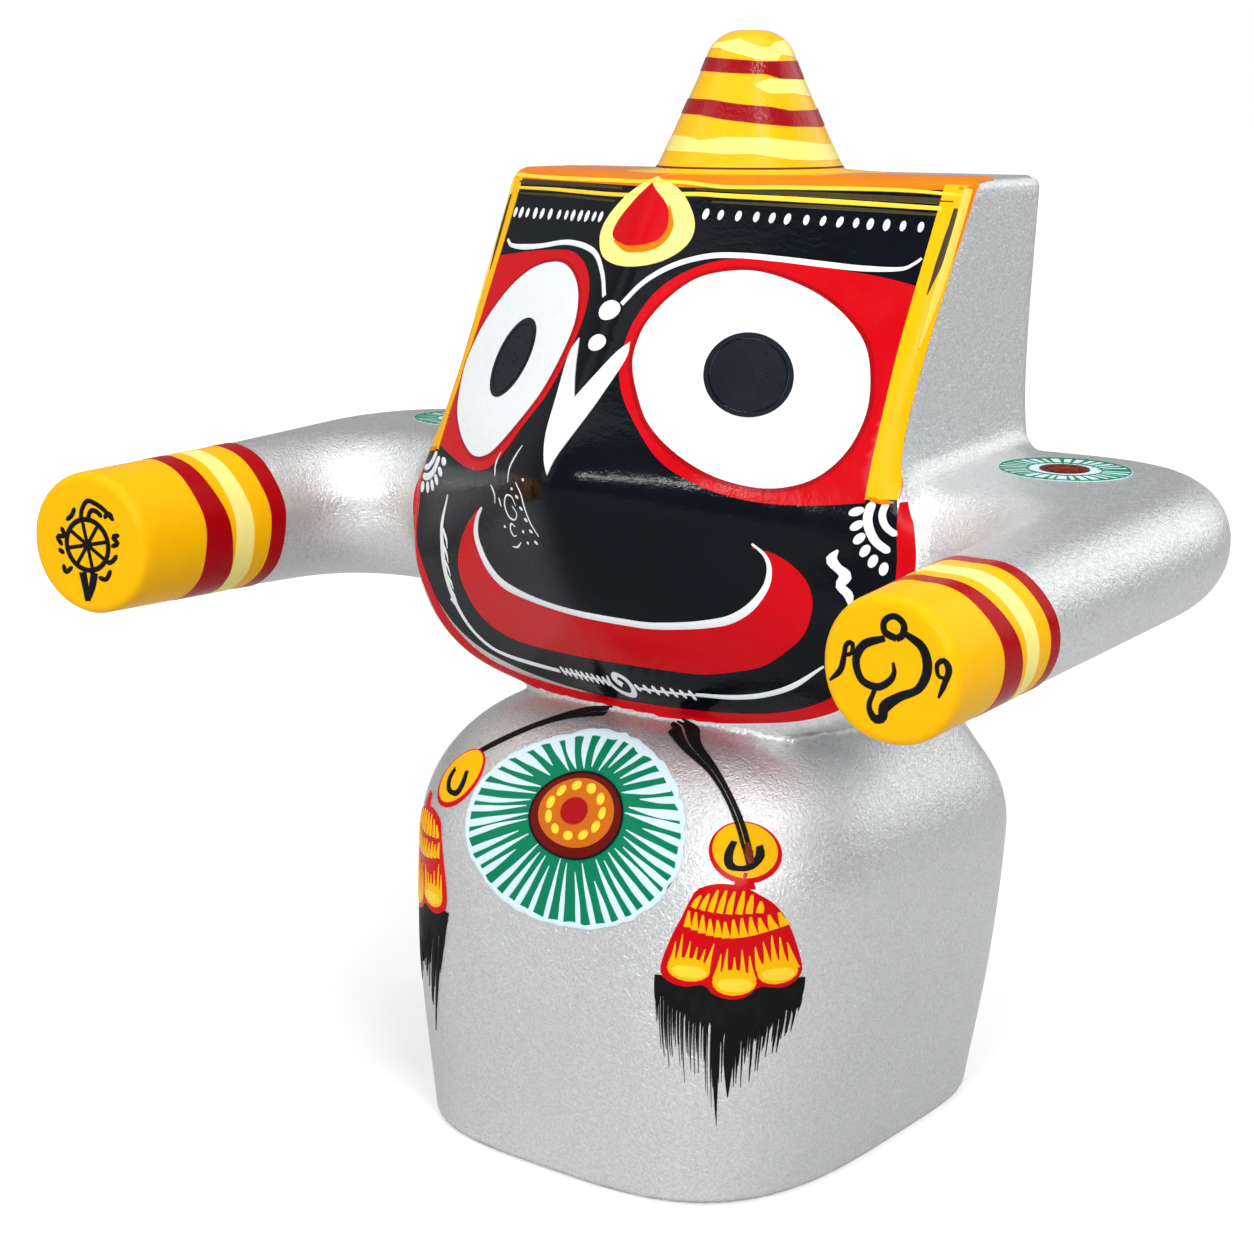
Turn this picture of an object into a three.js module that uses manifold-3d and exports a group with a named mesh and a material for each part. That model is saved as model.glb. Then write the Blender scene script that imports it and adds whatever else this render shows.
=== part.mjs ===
// A hand-carved, painted wooden figure: one solid block with a square body, a wedge-faced head
// under a cone crown, and two arms that reach forward from the shoulders.
// Millimetres, +Z up, the face looks along -Y, the origin lies under the body on the ground.
import * as THREE from "three";
import { mergeVertices } from "three/addons/utils/BufferGeometryUtils.js";
import Module from "manifold-3d";

// Overall stack, from the crown's tip down
const height = 177.8;
const crownHeight = 22.3;
const headHeight = 86.0;
const chinSeat = 0.5;
const headTop = height - crownHeight;
const chinHeight = headTop - headHeight;
const bodyTop = chinHeight + chinSeat;

// Body: a superellipse section whose half sizes change with the share of the body's own height
const bodyHalfWidth = 44.6;
const bodyFront = 48.0;
const bodyBack = 34.0;
const frontSquareness = 3.4;
const backSquareness = 4.5;
const bodyShoulderRound = 22.0;
const bodySides = [[0, 0.845], [0.37, 0.945], [0.72, 1.0], [1.1, 1.0]];
const bodyFronts = [[0, 0.97], [0.37, 0.96], [0.62, 0.905], [0.8, 0.855], [1.1, 0.8]];
const bodyBacks = [[0, 0.97], [0.37, 1.0], [0.72, 1.0], [1.1, 0.976]];

// Neck under the head, hidden behind the chin
const neckHalfWidth = 36.0;
const neckFront = 8.0;
const neckBack = 24.0;
const neckRound = 10.0;
const neckFillet = 6.0;

// Head: straight flanks above the lobes, a U-shaped jaw below them
const headHalfWidth = 45.6;
const lobeBulge = 3.9;
const lobeDrop = 53.5;
const headBack = 23.6;
const headBackLean = 1.6;
const jawSquareness = 3.6;
const headEdge = 2.0;
const headBackEdge = 3.0;
const lobeHeight = headTop - lobeDrop;

// Face: a wedge whose border and centre ridge each have a profile over the head's height
const browDepth = 17.0;
const noseReach = 45.5;
const borderReach = 21.5;
const borderSet = 2.0;
const ridgeRound = 3.0;
const muzzleFullness = 3.2;
// The face leans back, so its distance is shorter than its depth along Y
const faceLeanShare = 0.85;

// Crown: a rounded cone on the head's flat top
const crownRadius = 15.2;
const crownTip = 3.6;
const crownSeat = 7.5;
const crownRoot = 3.0;
const crownFillet = 1.5;
const crownSlopeShare = 0.92;

// Arms: one bent bar through the shoulders, its ends cut flat as hands
const handReach = 69.0;
const handInside = 65.6;
const handOutside = 86.4;
const shoulderSpread = 3.35;
const armTaper = 1.5;
const handDrop = 58.6;
const handRadius = 10.55;
const shoulderThickening = 0.55;
const shoulderRise = 3.1;
const shoulderFront = 19.0;
const shoulderBack = 24.6;
const shoulderCorner = 32.0;
const shoulderEdge = 8.5;
const armpitFillet = 16.0;
const armHeadFillet = 3.8;
const handEdge = 1.2;
const handTurn = 0.115;
const forearmFlat = 0.2;
// The carver's two arms differ a little: the right one is slimmer and lifts more
const armUnevenness = {
  radius: 1.05, inside: 0.4, outside: 1.4, lift: 0.5, rise: 2.75, thickening: 1.25, spread: 1.15, turn: 0.095,
};

// Where the head meets the body
const bodyHeadFillet = 4.0;

// The mesh: a half layer more than a whole number, so that the crown's tip lies inside a layer
const layers = 39.5;
const cell = height / layers;
const cellSlack = 0.2;
const normalStep = 0.05;
const halvings = 14;
const pulls = 12;
const pullShare = 0.8;
const settles = 4;

const clamp = (value, low, high) => Math.min(Math.max(value, low), high);

/** The smaller of two distances, with a fillet where they are alike. */
function softUnion(a, b, fillet) {
  const h = clamp(0.5 + (0.5 * (b - a)) / fillet, 0, 1);
  return b * (1 - h) + a * h - fillet * h * (1 - h);
}

/** The common part of two distances, with the edge between them rounded. */
function roundedEdge(a, b, radius) {
  const u = a + radius;
  const v = b + radius;
  return Math.min(Math.max(u, v), 0) + Math.hypot(Math.max(u, 0), Math.max(v, 0)) - radius;
}

/** A smooth curve through [position, value] pairs, flat beyond its ends. */
function profile(pairs) {
  const last = pairs.length - 1;
  const slope = (i) => {
    const from = pairs[Math.max(i - 1, 0)];
    const to = pairs[Math.min(i + 1, last)];
    return (to[1] - from[1]) / (to[0] - from[0]);
  };
  const slopes = pairs.map((_, i) => slope(i));
  return (position) => {
    const at = clamp(position, pairs[0][0], pairs[last][0]);
    let i = 0;
    while (i < last - 1 && at >= pairs[i + 1][0]) i += 1;
    const width = pairs[i + 1][0] - pairs[i][0];
    const t = (at - pairs[i][0]) / width;
    const t2 = t * t;
    const t3 = t2 * t;
    return pairs[i][1] * (2 * t3 - 3 * t2 + 1) + pairs[i + 1][1] * (3 * t2 - 2 * t3)
      + slopes[i] * width * (t3 - 2 * t2 + t) + slopes[i + 1] * width * (t3 - t2);
  };
}

const bodySide = profile(bodySides.map(([at, share]) => [at * bodyTop, share * bodyHalfWidth]));
const bodyFrontAt = profile(bodyFronts.map(([at, share]) => [at * bodyTop, share * bodyFront]));
const bodyBackAt = profile(bodyBacks.map(([at, share]) => [at * bodyTop, share * bodyBack]));

function body(x, y, z) {
  const width = bodySide(z);
  const depth = y < 0 ? bodyFrontAt(z) : bodyBackAt(z);
  const squareness = y < 0 ? frontSquareness : backSquareness;
  const across = Math.abs(x / width) ** squareness;
  const along = Math.abs(y / depth) ** squareness;
  const side = ((across + along) ** (1 / squareness) - 1) * width;
  return roundedEdge(side, z - bodyTop, bodyShoulderRound);
}

function neck(x, y, z) {
  const centre = (neckBack - neckFront) / 2;
  const halfDepth = (neckBack + neckFront) / 2;
  const side = roundedEdge(Math.abs(x) - neckHalfWidth, Math.abs(y - centre) - halfDepth, neckRound);
  const foot = bodyTop - bodyShoulderRound - z;
  return Math.max(roundedEdge(side, z - lobeHeight, headEdge), foot);
}

// Positions on the head are shares of the way from the chin (0) to the flat top (1)
const upHead = (z) => (z - chinHeight) / headHeight;
const lobeHalf = headHalfWidth + lobeBulge;
const flank = profile([
  [0, lobeHalf], [0.25, lobeHalf], [0.38, lobeHalf], [0.455, headHalfWidth + 0.45 * lobeBulge],
  [0.53, headHalfWidth - 0.1 * lobeBulge], [0.68, headHalfWidth - 0.25 * lobeBulge], [1, headHalfWidth],
]);
const borderAt = profile([
  [-0.11, -0.53 * borderReach], [0.06, -0.87 * borderReach], [0.24, -1.06 * borderReach],
  [0.36, -borderReach], [0.45, -0.95 * borderReach], [1, borderSet],
]);
const ridgeAt = profile([
  [-0.11, -0.26 * noseReach], [0.02, -0.48 * noseReach], [0.076, -0.59 * noseReach],
  [0.24, -0.835 * noseReach], [0.39, -0.967 * noseReach], [0.494, -noseReach],
  [0.622, -0.846 * noseReach], [0.76, -0.67 * noseReach], [0.913, -browDepth - 0.1 * noseReach],
  [1, -browDepth],
]);
const muzzleAt = profile([[0, 0.14], [0.3, 0.12], [0.47, 0.08], [0.64, 0.02], [1, 0]]);

/** How far forward the face lies at a place in the front view. */
function faceFront(x, z) {
  const up = upHead(z);
  const across = clamp(Math.abs(x) / lobeHalf, 0, 1);
  const wedge = 1 - clamp(Math.abs(x) / headHalfWidth, 0, 1.1);
  const softened = wedge - (ridgeRound / headHalfWidth) * Math.exp(-Math.abs(x) / ridgeRound);
  const dome = 1 - across ** muzzleFullness;
  const muzzle = muzzleAt(up);
  const border = borderAt(up);
  return border + (ridgeAt(up) - border) * (softened * (1 - muzzle) + dome * muzzle);
}

function head(x, y, z) {
  const below = Math.max(lobeHeight - z, 0) / (lobeHeight - chinHeight);
  const across = Math.abs(x) / flank(upHead(z));
  const round = (below ** jawSquareness + across ** jawSquareness) ** (1 / jawSquareness);
  const outline = (round - 1) * headHalfWidth;
  const front = (faceFront(x, z) - y) * faceLeanShare;
  const back = y - headBack + headBackLean * (1 - clamp(upHead(z), 0, 1));
  const capped = roundedEdge(outline, z - headTop, headEdge);
  return roundedEdge(roundedEdge(capped, front, headEdge), back, headBackEdge);
}

const crownRadiusAt = profile([
  [-0.25, 1.12 * crownRadius], [0.02, crownRadius], [0.2, 0.875 * crownRadius], [0.47, 0.69 * crownRadius],
  [0.74, 0.51 * crownRadius], [1, 0.37 * crownRadius],
].map(([up, radius]) => [headTop + up * crownHeight, radius]));

function crown(x, y, z) {
  const side = Math.hypot(x, y - crownSeat) - crownRadiusAt(z);
  return Math.max(roundedEdge(side * crownSlopeShare, z - height, crownTip), headTop - crownRoot - z);
}

function arms(x, y, z) {
  const aside = Math.abs(x);
  // -1 on the left arm, 1 on the right, easing across the back of the head
  const hand = clamp(x / headHalfWidth, -1, 1);
  // 0 at the hand, 1 beside the body's middle
  const back = clamp((y + handReach) / handReach, -0.3, 1.2);
  const radius = handRadius - armUnevenness.radius * hand;
  const inside = handInside - armUnevenness.inside * hand - armTaper * back;
  const spread = shoulderSpread + armUnevenness.spread * hand;
  const outside = handOutside - armUnevenness.outside * hand + spread * back;
  const bend = softUnion(inside - aside, -shoulderFront - y, armpitFillet);
  const corner = roundedEdge(aside - outside, y - shoulderBack, shoulderCorner);
  const rise = shoulderRise + armUnevenness.rise * hand;
  const centre = headTop - handDrop + armUnevenness.lift * hand + rise * back;
  const half = radius + (shoulderThickening - armUnevenness.thickening * hand) * back;
  // Round along the forearms, flatter over the shoulders
  const toShoulder = clamp((y + 2 * shoulderFront) / (2.5 * shoulderFront), 0, 1);
  const round = half - forearmFlat;
  const edge = round + (shoulderEdge - round) * toShoulder;
  const bar = roundedEdge(Math.max(bend, corner), Math.abs(z - centre) - half, edge);
  const turn = handTurn - armUnevenness.turn * hand;
  const end = -(y + handReach) + turn * ((handInside + handOutside) / 2 - aside);
  return roundedEdge(bar, end, handEdge);
}

/** Signed distance-like field of the whole figure, negative inside. */
function figure(x, y, z) {
  const upper = softUnion(arms(x, y, z), head(x, y, z), armHeadFillet);
  const lower = softUnion(body(x, y, z), neck(x, y, z), neckFillet);
  const whole = softUnion(upper, lower, bodyHeadFillet);
  return softUnion(whole, crown(x, y, z), crownFillet);
}

/** Unit normal of a field at a place. */
function normalOf(field, p) {
  const e = normalStep;
  const n = new THREE.Vector3(
    field(p.x + e, p.y, p.z) - field(p.x - e, p.y, p.z),
    field(p.x, p.y + e, p.z) - field(p.x, p.y - e, p.z),
    field(p.x, p.y, p.z + e) - field(p.x, p.y, p.z - e),
  );
  return n.normalize();
}

/** The place on a cell's edge where the field changes sign, by halving. */
function crossing(field, from, to) {
  const low = from.clone();
  const high = to.clone();
  const lowInside = field(low.x, low.y, low.z) < 0;
  const middle = new THREE.Vector3();
  for (let i = 0; i < halvings; i += 1) {
    middle.addVectors(low, high).multiplyScalar(0.5);
    const inside = field(middle.x, middle.y, middle.z) < 0;
    (inside === lowInside ? low : high).copy(middle);
  }
  return middle.clone();
}

/** One vertex for a cell: from the crossings' middle towards the edge they share, then onto the surface. */
function cellVertex(field, crossings, corner, step) {
  const normals = crossings.map((p) => normalOf(field, p));
  const vertex = new THREE.Vector3();
  crossings.forEach((p) => vertex.add(p));
  vertex.divideScalar(crossings.length);
  const pull = new THREE.Vector3();
  const toward = new THREE.Vector3();
  for (let i = 0; i < pulls; i += 1) {
    pull.set(0, 0, 0);
    crossings.forEach((p, j) => {
      toward.subVectors(p, vertex);
      pull.addScaledVector(normals[j], normals[j].dot(toward));
    });
    vertex.addScaledVector(pull, pullShare / crossings.length);
  }
  for (let i = 0; i < settles; i += 1) {
    vertex.addScaledVector(normalOf(field, vertex), -field(vertex.x, vertex.y, vertex.z));
  }
  const slack = step * cellSlack;
  vertex.x = clamp(vertex.x, corner.x - slack, corner.x + step + slack);
  vertex.y = clamp(vertex.y, corner.y - slack, corner.y + step + slack);
  vertex.z = clamp(vertex.z, corner.z - slack, corner.z + step + slack);
  return vertex;
}

/** A closed mesh of the field's zero surface: one vertex in a crossed cell, one quad at a crossed edge. */
function meshOfField(field, low, high, step) {
  const count = [0, 1, 2].map((i) => Math.ceil((high.getComponent(i) - low.getComponent(i)) / step) + 1);
  const index = (i, j, k) => (k * count[1] + j) * count[0] + i;
  const place = (i, j, k) => new THREE.Vector3(low.x + i * step, low.y + j * step, low.z + k * step);
  const values = new Float64Array(count[0] * count[1] * count[2]);
  for (let k = 0; k < count[2]; k += 1) {
    for (let j = 0; j < count[1]; j += 1) {
      for (let i = 0; i < count[0]; i += 1) {
        const p = place(i, j, k);
        values[index(i, j, k)] = field(p.x, p.y, p.z);
      }
    }
  }
  const axes = [[1, 0, 0], [0, 1, 0], [0, 0, 1]];
  const cornersOf = new Map();
  const crossed = [];
  for (let k = 0; k < count[2]; k += 1) {
    for (let j = 0; j < count[1]; j += 1) {
      for (let i = 0; i < count[0]; i += 1) {
        axes.forEach((ahead, axis) => {
          const [ni, nj, nk] = [i + ahead[0], j + ahead[1], k + ahead[2]];
          if (ni >= count[0] || nj >= count[1] || nk >= count[2]) return;
          const here = values[index(i, j, k)] < 0;
          if (here === values[index(ni, nj, nk)] < 0) return;
          const point = crossing(field, place(i, j, k), place(ni, nj, nk));
          crossed.push({ at: [i, j, k], axis, inside: here, point });
        });
      }
    }
  }
  // Each crossed edge belongs to the four cells around it
  const around = (edge) => {
    const u = axes[(edge.axis + 1) % 3];
    const v = axes[(edge.axis + 2) % 3];
    return [[0, 0], [1, 0], [1, 1], [0, 1]].map(([a, b]) => (
      [0, 1, 2].map((c) => edge.at[c] - a * u[c] - b * v[c])
    ));
  };
  crossed.forEach((edge) => {
    around(edge).forEach((c) => {
      const key = index(...c);
      if (!cornersOf.has(key)) cornersOf.set(key, { corner: place(...c), points: [] });
      cornersOf.get(key).points.push(edge.point);
    });
  });
  const vertices = [];
  const vertexOf = new Map();
  cornersOf.forEach((entry, key) => {
    vertexOf.set(key, vertices.length);
    vertices.push(cellVertex(field, entry.points, entry.corner, step));
  });
  const triangles = [];
  crossed.forEach((edge) => {
    const quad = around(edge).map((c) => vertexOf.get(index(...c)));
    if (!edge.inside) quad.reverse();
    const [a, b, c, d] = quad;
    // Split the quad along the diagonal whose middle lies nearer to the surface
    const gap = (p, q) => {
      const m = vertices[p].clone().add(vertices[q]).multiplyScalar(0.5);
      return Math.abs(field(m.x, m.y, m.z));
    };
    if (gap(a, c) <= gap(b, d)) triangles.push(a, b, c, a, c, d);
    else triangles.push(b, c, d, b, d, a);
  });
  return { vertices, triangles };
}

const wasm = await Module();
wasm.setup();

/** A manifold solid from plain vertex and triangle lists. */
function solidFromLists(vertProperties, triVerts) {
  return new wasm.Manifold(new wasm.Mesh({ numProp: 3, vertProperties, triVerts }));
}

/** A manifold solid from a closed three.js geometry. */
function solidFromGeometry(geometry) {
  const bare = geometry.clone();
  bare.deleteAttribute("normal");
  bare.deleteAttribute("uv");
  const merged = mergeVertices(bare);
  const positions = new Float32Array(merged.attributes.position.array);
  return solidFromLists(positions, new Uint32Array(merged.index.array));
}

function geometryFromSolid(solid) {
  const mesh = solid.getMesh();
  const geometry = new THREE.BufferGeometry();
  geometry.setAttribute("position", new THREE.BufferAttribute(new Float32Array(mesh.vertProperties), 3));
  geometry.setIndex(new THREE.BufferAttribute(new Uint32Array(mesh.triVerts), 1));
  geometry.computeVertexNormals();
  return geometry;
}

/** The figure's solid: the field's surface, cut off flat at the ground. */
function figureGeometry() {
  const margin = 2 * cell;
  const below = 1.2 * cell;
  // The ridge at x = 0 and the head's back run through the middle of their cells
  const middleOfCell = (from, reach) => from - (Math.ceil((from + reach) / cell) + 0.5) * cell;
  const reachX = handOutside + shoulderSpread + margin;
  const lowY = middleOfCell(headBack, handReach + margin);
  const low = new THREE.Vector3(middleOfCell(0, reachX), lowY, -margin);
  const high = new THREE.Vector3(reachX, Math.max(bodyBack, shoulderBack) + margin, height + margin);
  const root = (x, y, z) => Math.max(figure(x, y, z), -z - below);
  const { vertices, triangles } = meshOfField(root, low, high, cell);
  const positions = new Float32Array(vertices.flatMap((v) => [v.x, v.y, v.z]));
  const carved = solidFromLists(positions, new Uint32Array(triangles));
  const room = new THREE.BoxGeometry(4 * reachX, 4 * reachX, 2 * height);
  room.translate(0, 0, height);
  return geometryFromSolid(carved.intersect(solidFromGeometry(room)));
}

const silverPaint = new THREE.MeshStandardMaterial({ color: 0xc3c5c7, metalness: 0.85, roughness: 0.35 });
const figureMesh = new THREE.Mesh(figureGeometry(), silverPaint);
figureMesh.name = "jagannath_figure";

const part = new THREE.Group();
part.add(figureMesh);
export default part;
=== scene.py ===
"""The paint and finish of a carved wooden figure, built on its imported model.

A fine mesh of the carved block replaces the plain one, and every coat of paint is a thin closed
shell that follows the block's surface. Sizes are millimetres until a mesh is made; the face looks
along -Y, +Z is up and picture-left is -X.
"""

import math

import bpy
import numpy as np
from mathutils import Matrix, Vector
from mathutils.geometry import delaunay_2d_cdt


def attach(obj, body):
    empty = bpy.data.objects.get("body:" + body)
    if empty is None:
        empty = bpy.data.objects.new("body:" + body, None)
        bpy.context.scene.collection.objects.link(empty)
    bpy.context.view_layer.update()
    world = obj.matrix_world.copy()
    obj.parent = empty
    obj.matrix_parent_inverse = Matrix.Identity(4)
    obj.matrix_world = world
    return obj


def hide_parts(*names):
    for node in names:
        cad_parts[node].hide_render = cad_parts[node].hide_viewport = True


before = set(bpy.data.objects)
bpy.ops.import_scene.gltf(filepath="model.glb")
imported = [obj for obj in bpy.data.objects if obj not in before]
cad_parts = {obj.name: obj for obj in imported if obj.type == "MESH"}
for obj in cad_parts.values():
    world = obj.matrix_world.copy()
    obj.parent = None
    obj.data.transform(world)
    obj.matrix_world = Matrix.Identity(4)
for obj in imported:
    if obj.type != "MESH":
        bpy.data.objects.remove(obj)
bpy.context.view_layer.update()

MM = 0.001

# The block's form, as in the model: overall stack, from the crown's tip down
HEIGHT = 177.8
CROWN_HEIGHT = 22.3
HEAD_HEIGHT = 86.0
HEAD_TOP = HEIGHT - CROWN_HEIGHT
CHIN_HEIGHT = HEAD_TOP - HEAD_HEIGHT
BODY_TOP = CHIN_HEIGHT + 0.5

BODY_HALF_WIDTH = 44.6
BODY_FRONT = 48.0
BODY_BACK = 34.0
FRONT_SQUARENESS = 3.4
BACK_SQUARENESS = 4.5
BODY_SHOULDER_ROUND = 22.0
BODY_SIDES = [[0, 0.845], [0.37, 0.945], [0.72, 1.0], [1.1, 1.0]]
BODY_FRONTS = [[0, 0.97], [0.37, 0.96], [0.62, 0.905], [0.8, 0.855], [1.1, 0.8]]
BODY_BACKS = [[0, 0.97], [0.37, 1.0], [0.72, 1.0], [1.1, 0.976]]

NECK_HALF_WIDTH = 36.0
NECK_FRONT = 8.0
NECK_BACK = 24.0
NECK_ROUND = 10.0
NECK_FILLET = 6.0

HEAD_HALF_WIDTH = 45.6
LOBE_BULGE = 3.9
LOBE_DROP = 53.5
HEAD_BACK = 23.6
HEAD_BACK_LEAN = 1.6
JAW_SQUARENESS = 3.6
HEAD_EDGE = 2.0
HEAD_BACK_EDGE = 3.0
LOBE_HEIGHT = HEAD_TOP - LOBE_DROP

BROW_DEPTH = 17.0
NOSE_REACH = 45.5
BORDER_REACH = 21.5
BORDER_SET = 2.0
RIDGE_ROUND = 3.0
FACE_LEAN_SHARE = 0.85
MUZZLE_FULLNESS = 3.2
CROWN_ROOT = 3.0

CROWN_RADIUS = 15.2
CROWN_TIP = 3.6
CROWN_SEAT = 7.5
CROWN_FILLET = 1.5
CROWN_SLOPE_SHARE = 0.92

HAND_REACH = 69.0
HAND_INSIDE = 65.6
HAND_OUTSIDE = 86.4
SHOULDER_SPREAD = 3.35
ARM_TAPER = 1.5
HAND_DROP = 58.6
HAND_RADIUS = 10.55
SHOULDER_THICKENING = 0.55
SHOULDER_RISE = 3.1
SHOULDER_FRONT = 19.0
SHOULDER_BACK = 24.6
SHOULDER_CORNER = 32.0
SHOULDER_EDGE = 8.5
ARMPIT_FILLET = 16.0
ARM_HEAD_FILLET = 3.8
HAND_EDGE = 1.2
# The two arms differ a little: the one at +X is slimmer and lifts more
UNEVEN = dict(radius=1.05, inside=0.4, outside=1.4, lift=0.5, rise=2.75, thickening=1.25, spread=1.15,
              turn=0.095)
HAND_TURN = 0.115
FOREARM_FLAT = 0.2
BODY_HEAD_FILLET = 4.0


def clamp(v, low, high):
    return np.minimum(np.maximum(v, low), high)


def soft_union(a, b, fillet):
    """Two forms as one, with a fillet where they meet; a form is negative inside."""
    h = clamp(0.5 + 0.5 * (b - a) / fillet, 0, 1)
    return b * (1 - h) + a * h - fillet * h * (1 - h)


def rounded_edge(a, b, radius):
    """What two forms share, with the edge between them rounded."""
    u = a + radius
    v = b + radius
    return np.minimum(np.maximum(u, v), 0) + np.hypot(np.maximum(u, 0), np.maximum(v, 0)) - radius


def profile(pairs):
    """A smooth function through (place, value) pairs."""
    xs, vs = np.array(pairs, float).T
    last = len(pairs) - 1
    before = np.maximum(np.arange(last + 1) - 1, 0)
    after = np.minimum(np.arange(last + 1) + 1, last)
    slopes = (vs[after] - vs[before]) / (xs[after] - xs[before])

    def at(position):
        p = clamp(position, xs[0], xs[-1])
        i = np.clip(np.searchsorted(xs, p, side="right") - 1, 0, last - 1)
        width = xs[i + 1] - xs[i]
        t = (p - xs[i]) / width
        t2 = t * t
        t3 = t2 * t
        return (vs[i] * (2 * t3 - 3 * t2 + 1) + vs[i + 1] * (3 * t2 - 2 * t3)
                + slopes[i] * width * (t3 - 2 * t2 + t) + slopes[i + 1] * width * (t3 - t2))
    return at


body_side = profile([(a * BODY_TOP, s * BODY_HALF_WIDTH) for a, s in BODY_SIDES])
body_front_at = profile([(a * BODY_TOP, s * BODY_FRONT) for a, s in BODY_FRONTS])
body_back_at = profile([(a * BODY_TOP, s * BODY_BACK) for a, s in BODY_BACKS])


def body(x, y, z):
    """The body: a rounded square section that changes with height, under a rounded top."""
    width = body_side(z)
    ahead = y < 0
    depth = np.where(ahead, body_front_at(z), body_back_at(z))
    n = np.where(ahead, FRONT_SQUARENESS, BACK_SQUARENESS)
    round_ = (np.abs(x / width) ** n + np.abs(y / depth) ** n) ** (1 / n)
    side = (round_ - 1) * width
    return rounded_edge(side, z - BODY_TOP, BODY_SHOULDER_ROUND)


def neck(x, y, z):
    """The narrower block between the body and the head."""
    centre = (NECK_BACK - NECK_FRONT) / 2
    half = (NECK_BACK + NECK_FRONT) / 2
    side = rounded_edge(np.abs(x) - NECK_HALF_WIDTH, np.abs(y - centre) - half, NECK_ROUND)
    foot = BODY_TOP - BODY_SHOULDER_ROUND - z
    return np.maximum(rounded_edge(side, z - LOBE_HEIGHT, HEAD_EDGE), foot)


def up_head(z):
    """The share of the head's height that a place has reached."""
    return (z - CHIN_HEIGHT) / HEAD_HEIGHT


lobe_half = HEAD_HALF_WIDTH + LOBE_BULGE
flank = profile([
    [0, lobe_half], [0.25, lobe_half], [0.38, lobe_half], [0.455, HEAD_HALF_WIDTH + 0.45 * LOBE_BULGE],
    [0.53, HEAD_HALF_WIDTH - 0.1 * LOBE_BULGE], [0.68, HEAD_HALF_WIDTH - 0.25 * LOBE_BULGE],
    [1, HEAD_HALF_WIDTH],
])
border_at = profile([
    [-0.11, -0.53 * BORDER_REACH], [0.06, -0.87 * BORDER_REACH], [0.24, -1.06 * BORDER_REACH],
    [0.36, -BORDER_REACH], [0.45, -0.95 * BORDER_REACH], [1, BORDER_SET],
])
ridge_at = profile([
    [-0.11, -0.26 * NOSE_REACH], [0.02, -0.48 * NOSE_REACH], [0.076, -0.59 * NOSE_REACH],
    [0.24, -0.835 * NOSE_REACH], [0.39, -0.967 * NOSE_REACH], [0.494, -NOSE_REACH],
    [0.622, -0.846 * NOSE_REACH], [0.76, -0.67 * NOSE_REACH], [0.913, -BROW_DEPTH - 0.1 * NOSE_REACH],
    [1, -BROW_DEPTH],
])
muzzle_at = profile([[0, 0.14], [0.3, 0.12], [0.47, 0.08], [0.64, 0.02], [1, 0]])


def face_front(x, z):
    """How far forward the face stands: a wedge, swelling to a muzzle low down."""
    up = up_head(z)
    ax = np.abs(x)
    across = clamp(ax / lobe_half, 0, 1)
    wedge = 1 - clamp(ax / HEAD_HALF_WIDTH, 0, 1.1)
    softened = wedge - (RIDGE_ROUND / HEAD_HALF_WIDTH) * np.exp(-ax / RIDGE_ROUND)
    dome = 1 - across ** MUZZLE_FULLNESS
    muzzle = muzzle_at(up)
    border = border_at(up)
    return border + (ridge_at(up) - border) * (softened * (1 - muzzle) + dome * muzzle)


def jaw_reach(x, z):
    """1 on the head's outline in the front view, less inside."""
    below = np.maximum(LOBE_HEIGHT - z, 0) / (LOBE_HEIGHT - CHIN_HEIGHT)
    across = np.abs(x) / flank(up_head(z))
    return (below ** JAW_SQUARENESS + across ** JAW_SQUARENESS) ** (1 / JAW_SQUARENESS)


def head(x, y, z):
    """The head: the U-shaped outline, cut by the face in front and the back behind."""
    outline = (jaw_reach(x, z) - 1) * HEAD_HALF_WIDTH
    front = (face_front(x, z) - y) * FACE_LEAN_SHARE
    back = y - HEAD_BACK + HEAD_BACK_LEAN * (1 - clamp(up_head(z), 0, 1))
    capped = rounded_edge(outline, z - HEAD_TOP, HEAD_EDGE)
    return rounded_edge(rounded_edge(capped, front, HEAD_EDGE), back, HEAD_BACK_EDGE)


crown_radius_at = profile([(HEAD_TOP + up * CROWN_HEIGHT, r * CROWN_RADIUS) for up, r in
                           [(-0.25, 1.12), (0.02, 1), (0.2, 0.875), (0.47, 0.69), (0.74, 0.51), (1, 0.37)]])


def crown(x, y, z):
    """The round-tipped cone on the head."""
    side = (np.hypot(x, y - CROWN_SEAT) - crown_radius_at(z)) * CROWN_SLOPE_SHARE
    return np.maximum(rounded_edge(side, z - HEIGHT, CROWN_TIP), HEAD_TOP - CROWN_ROOT - z)


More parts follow.
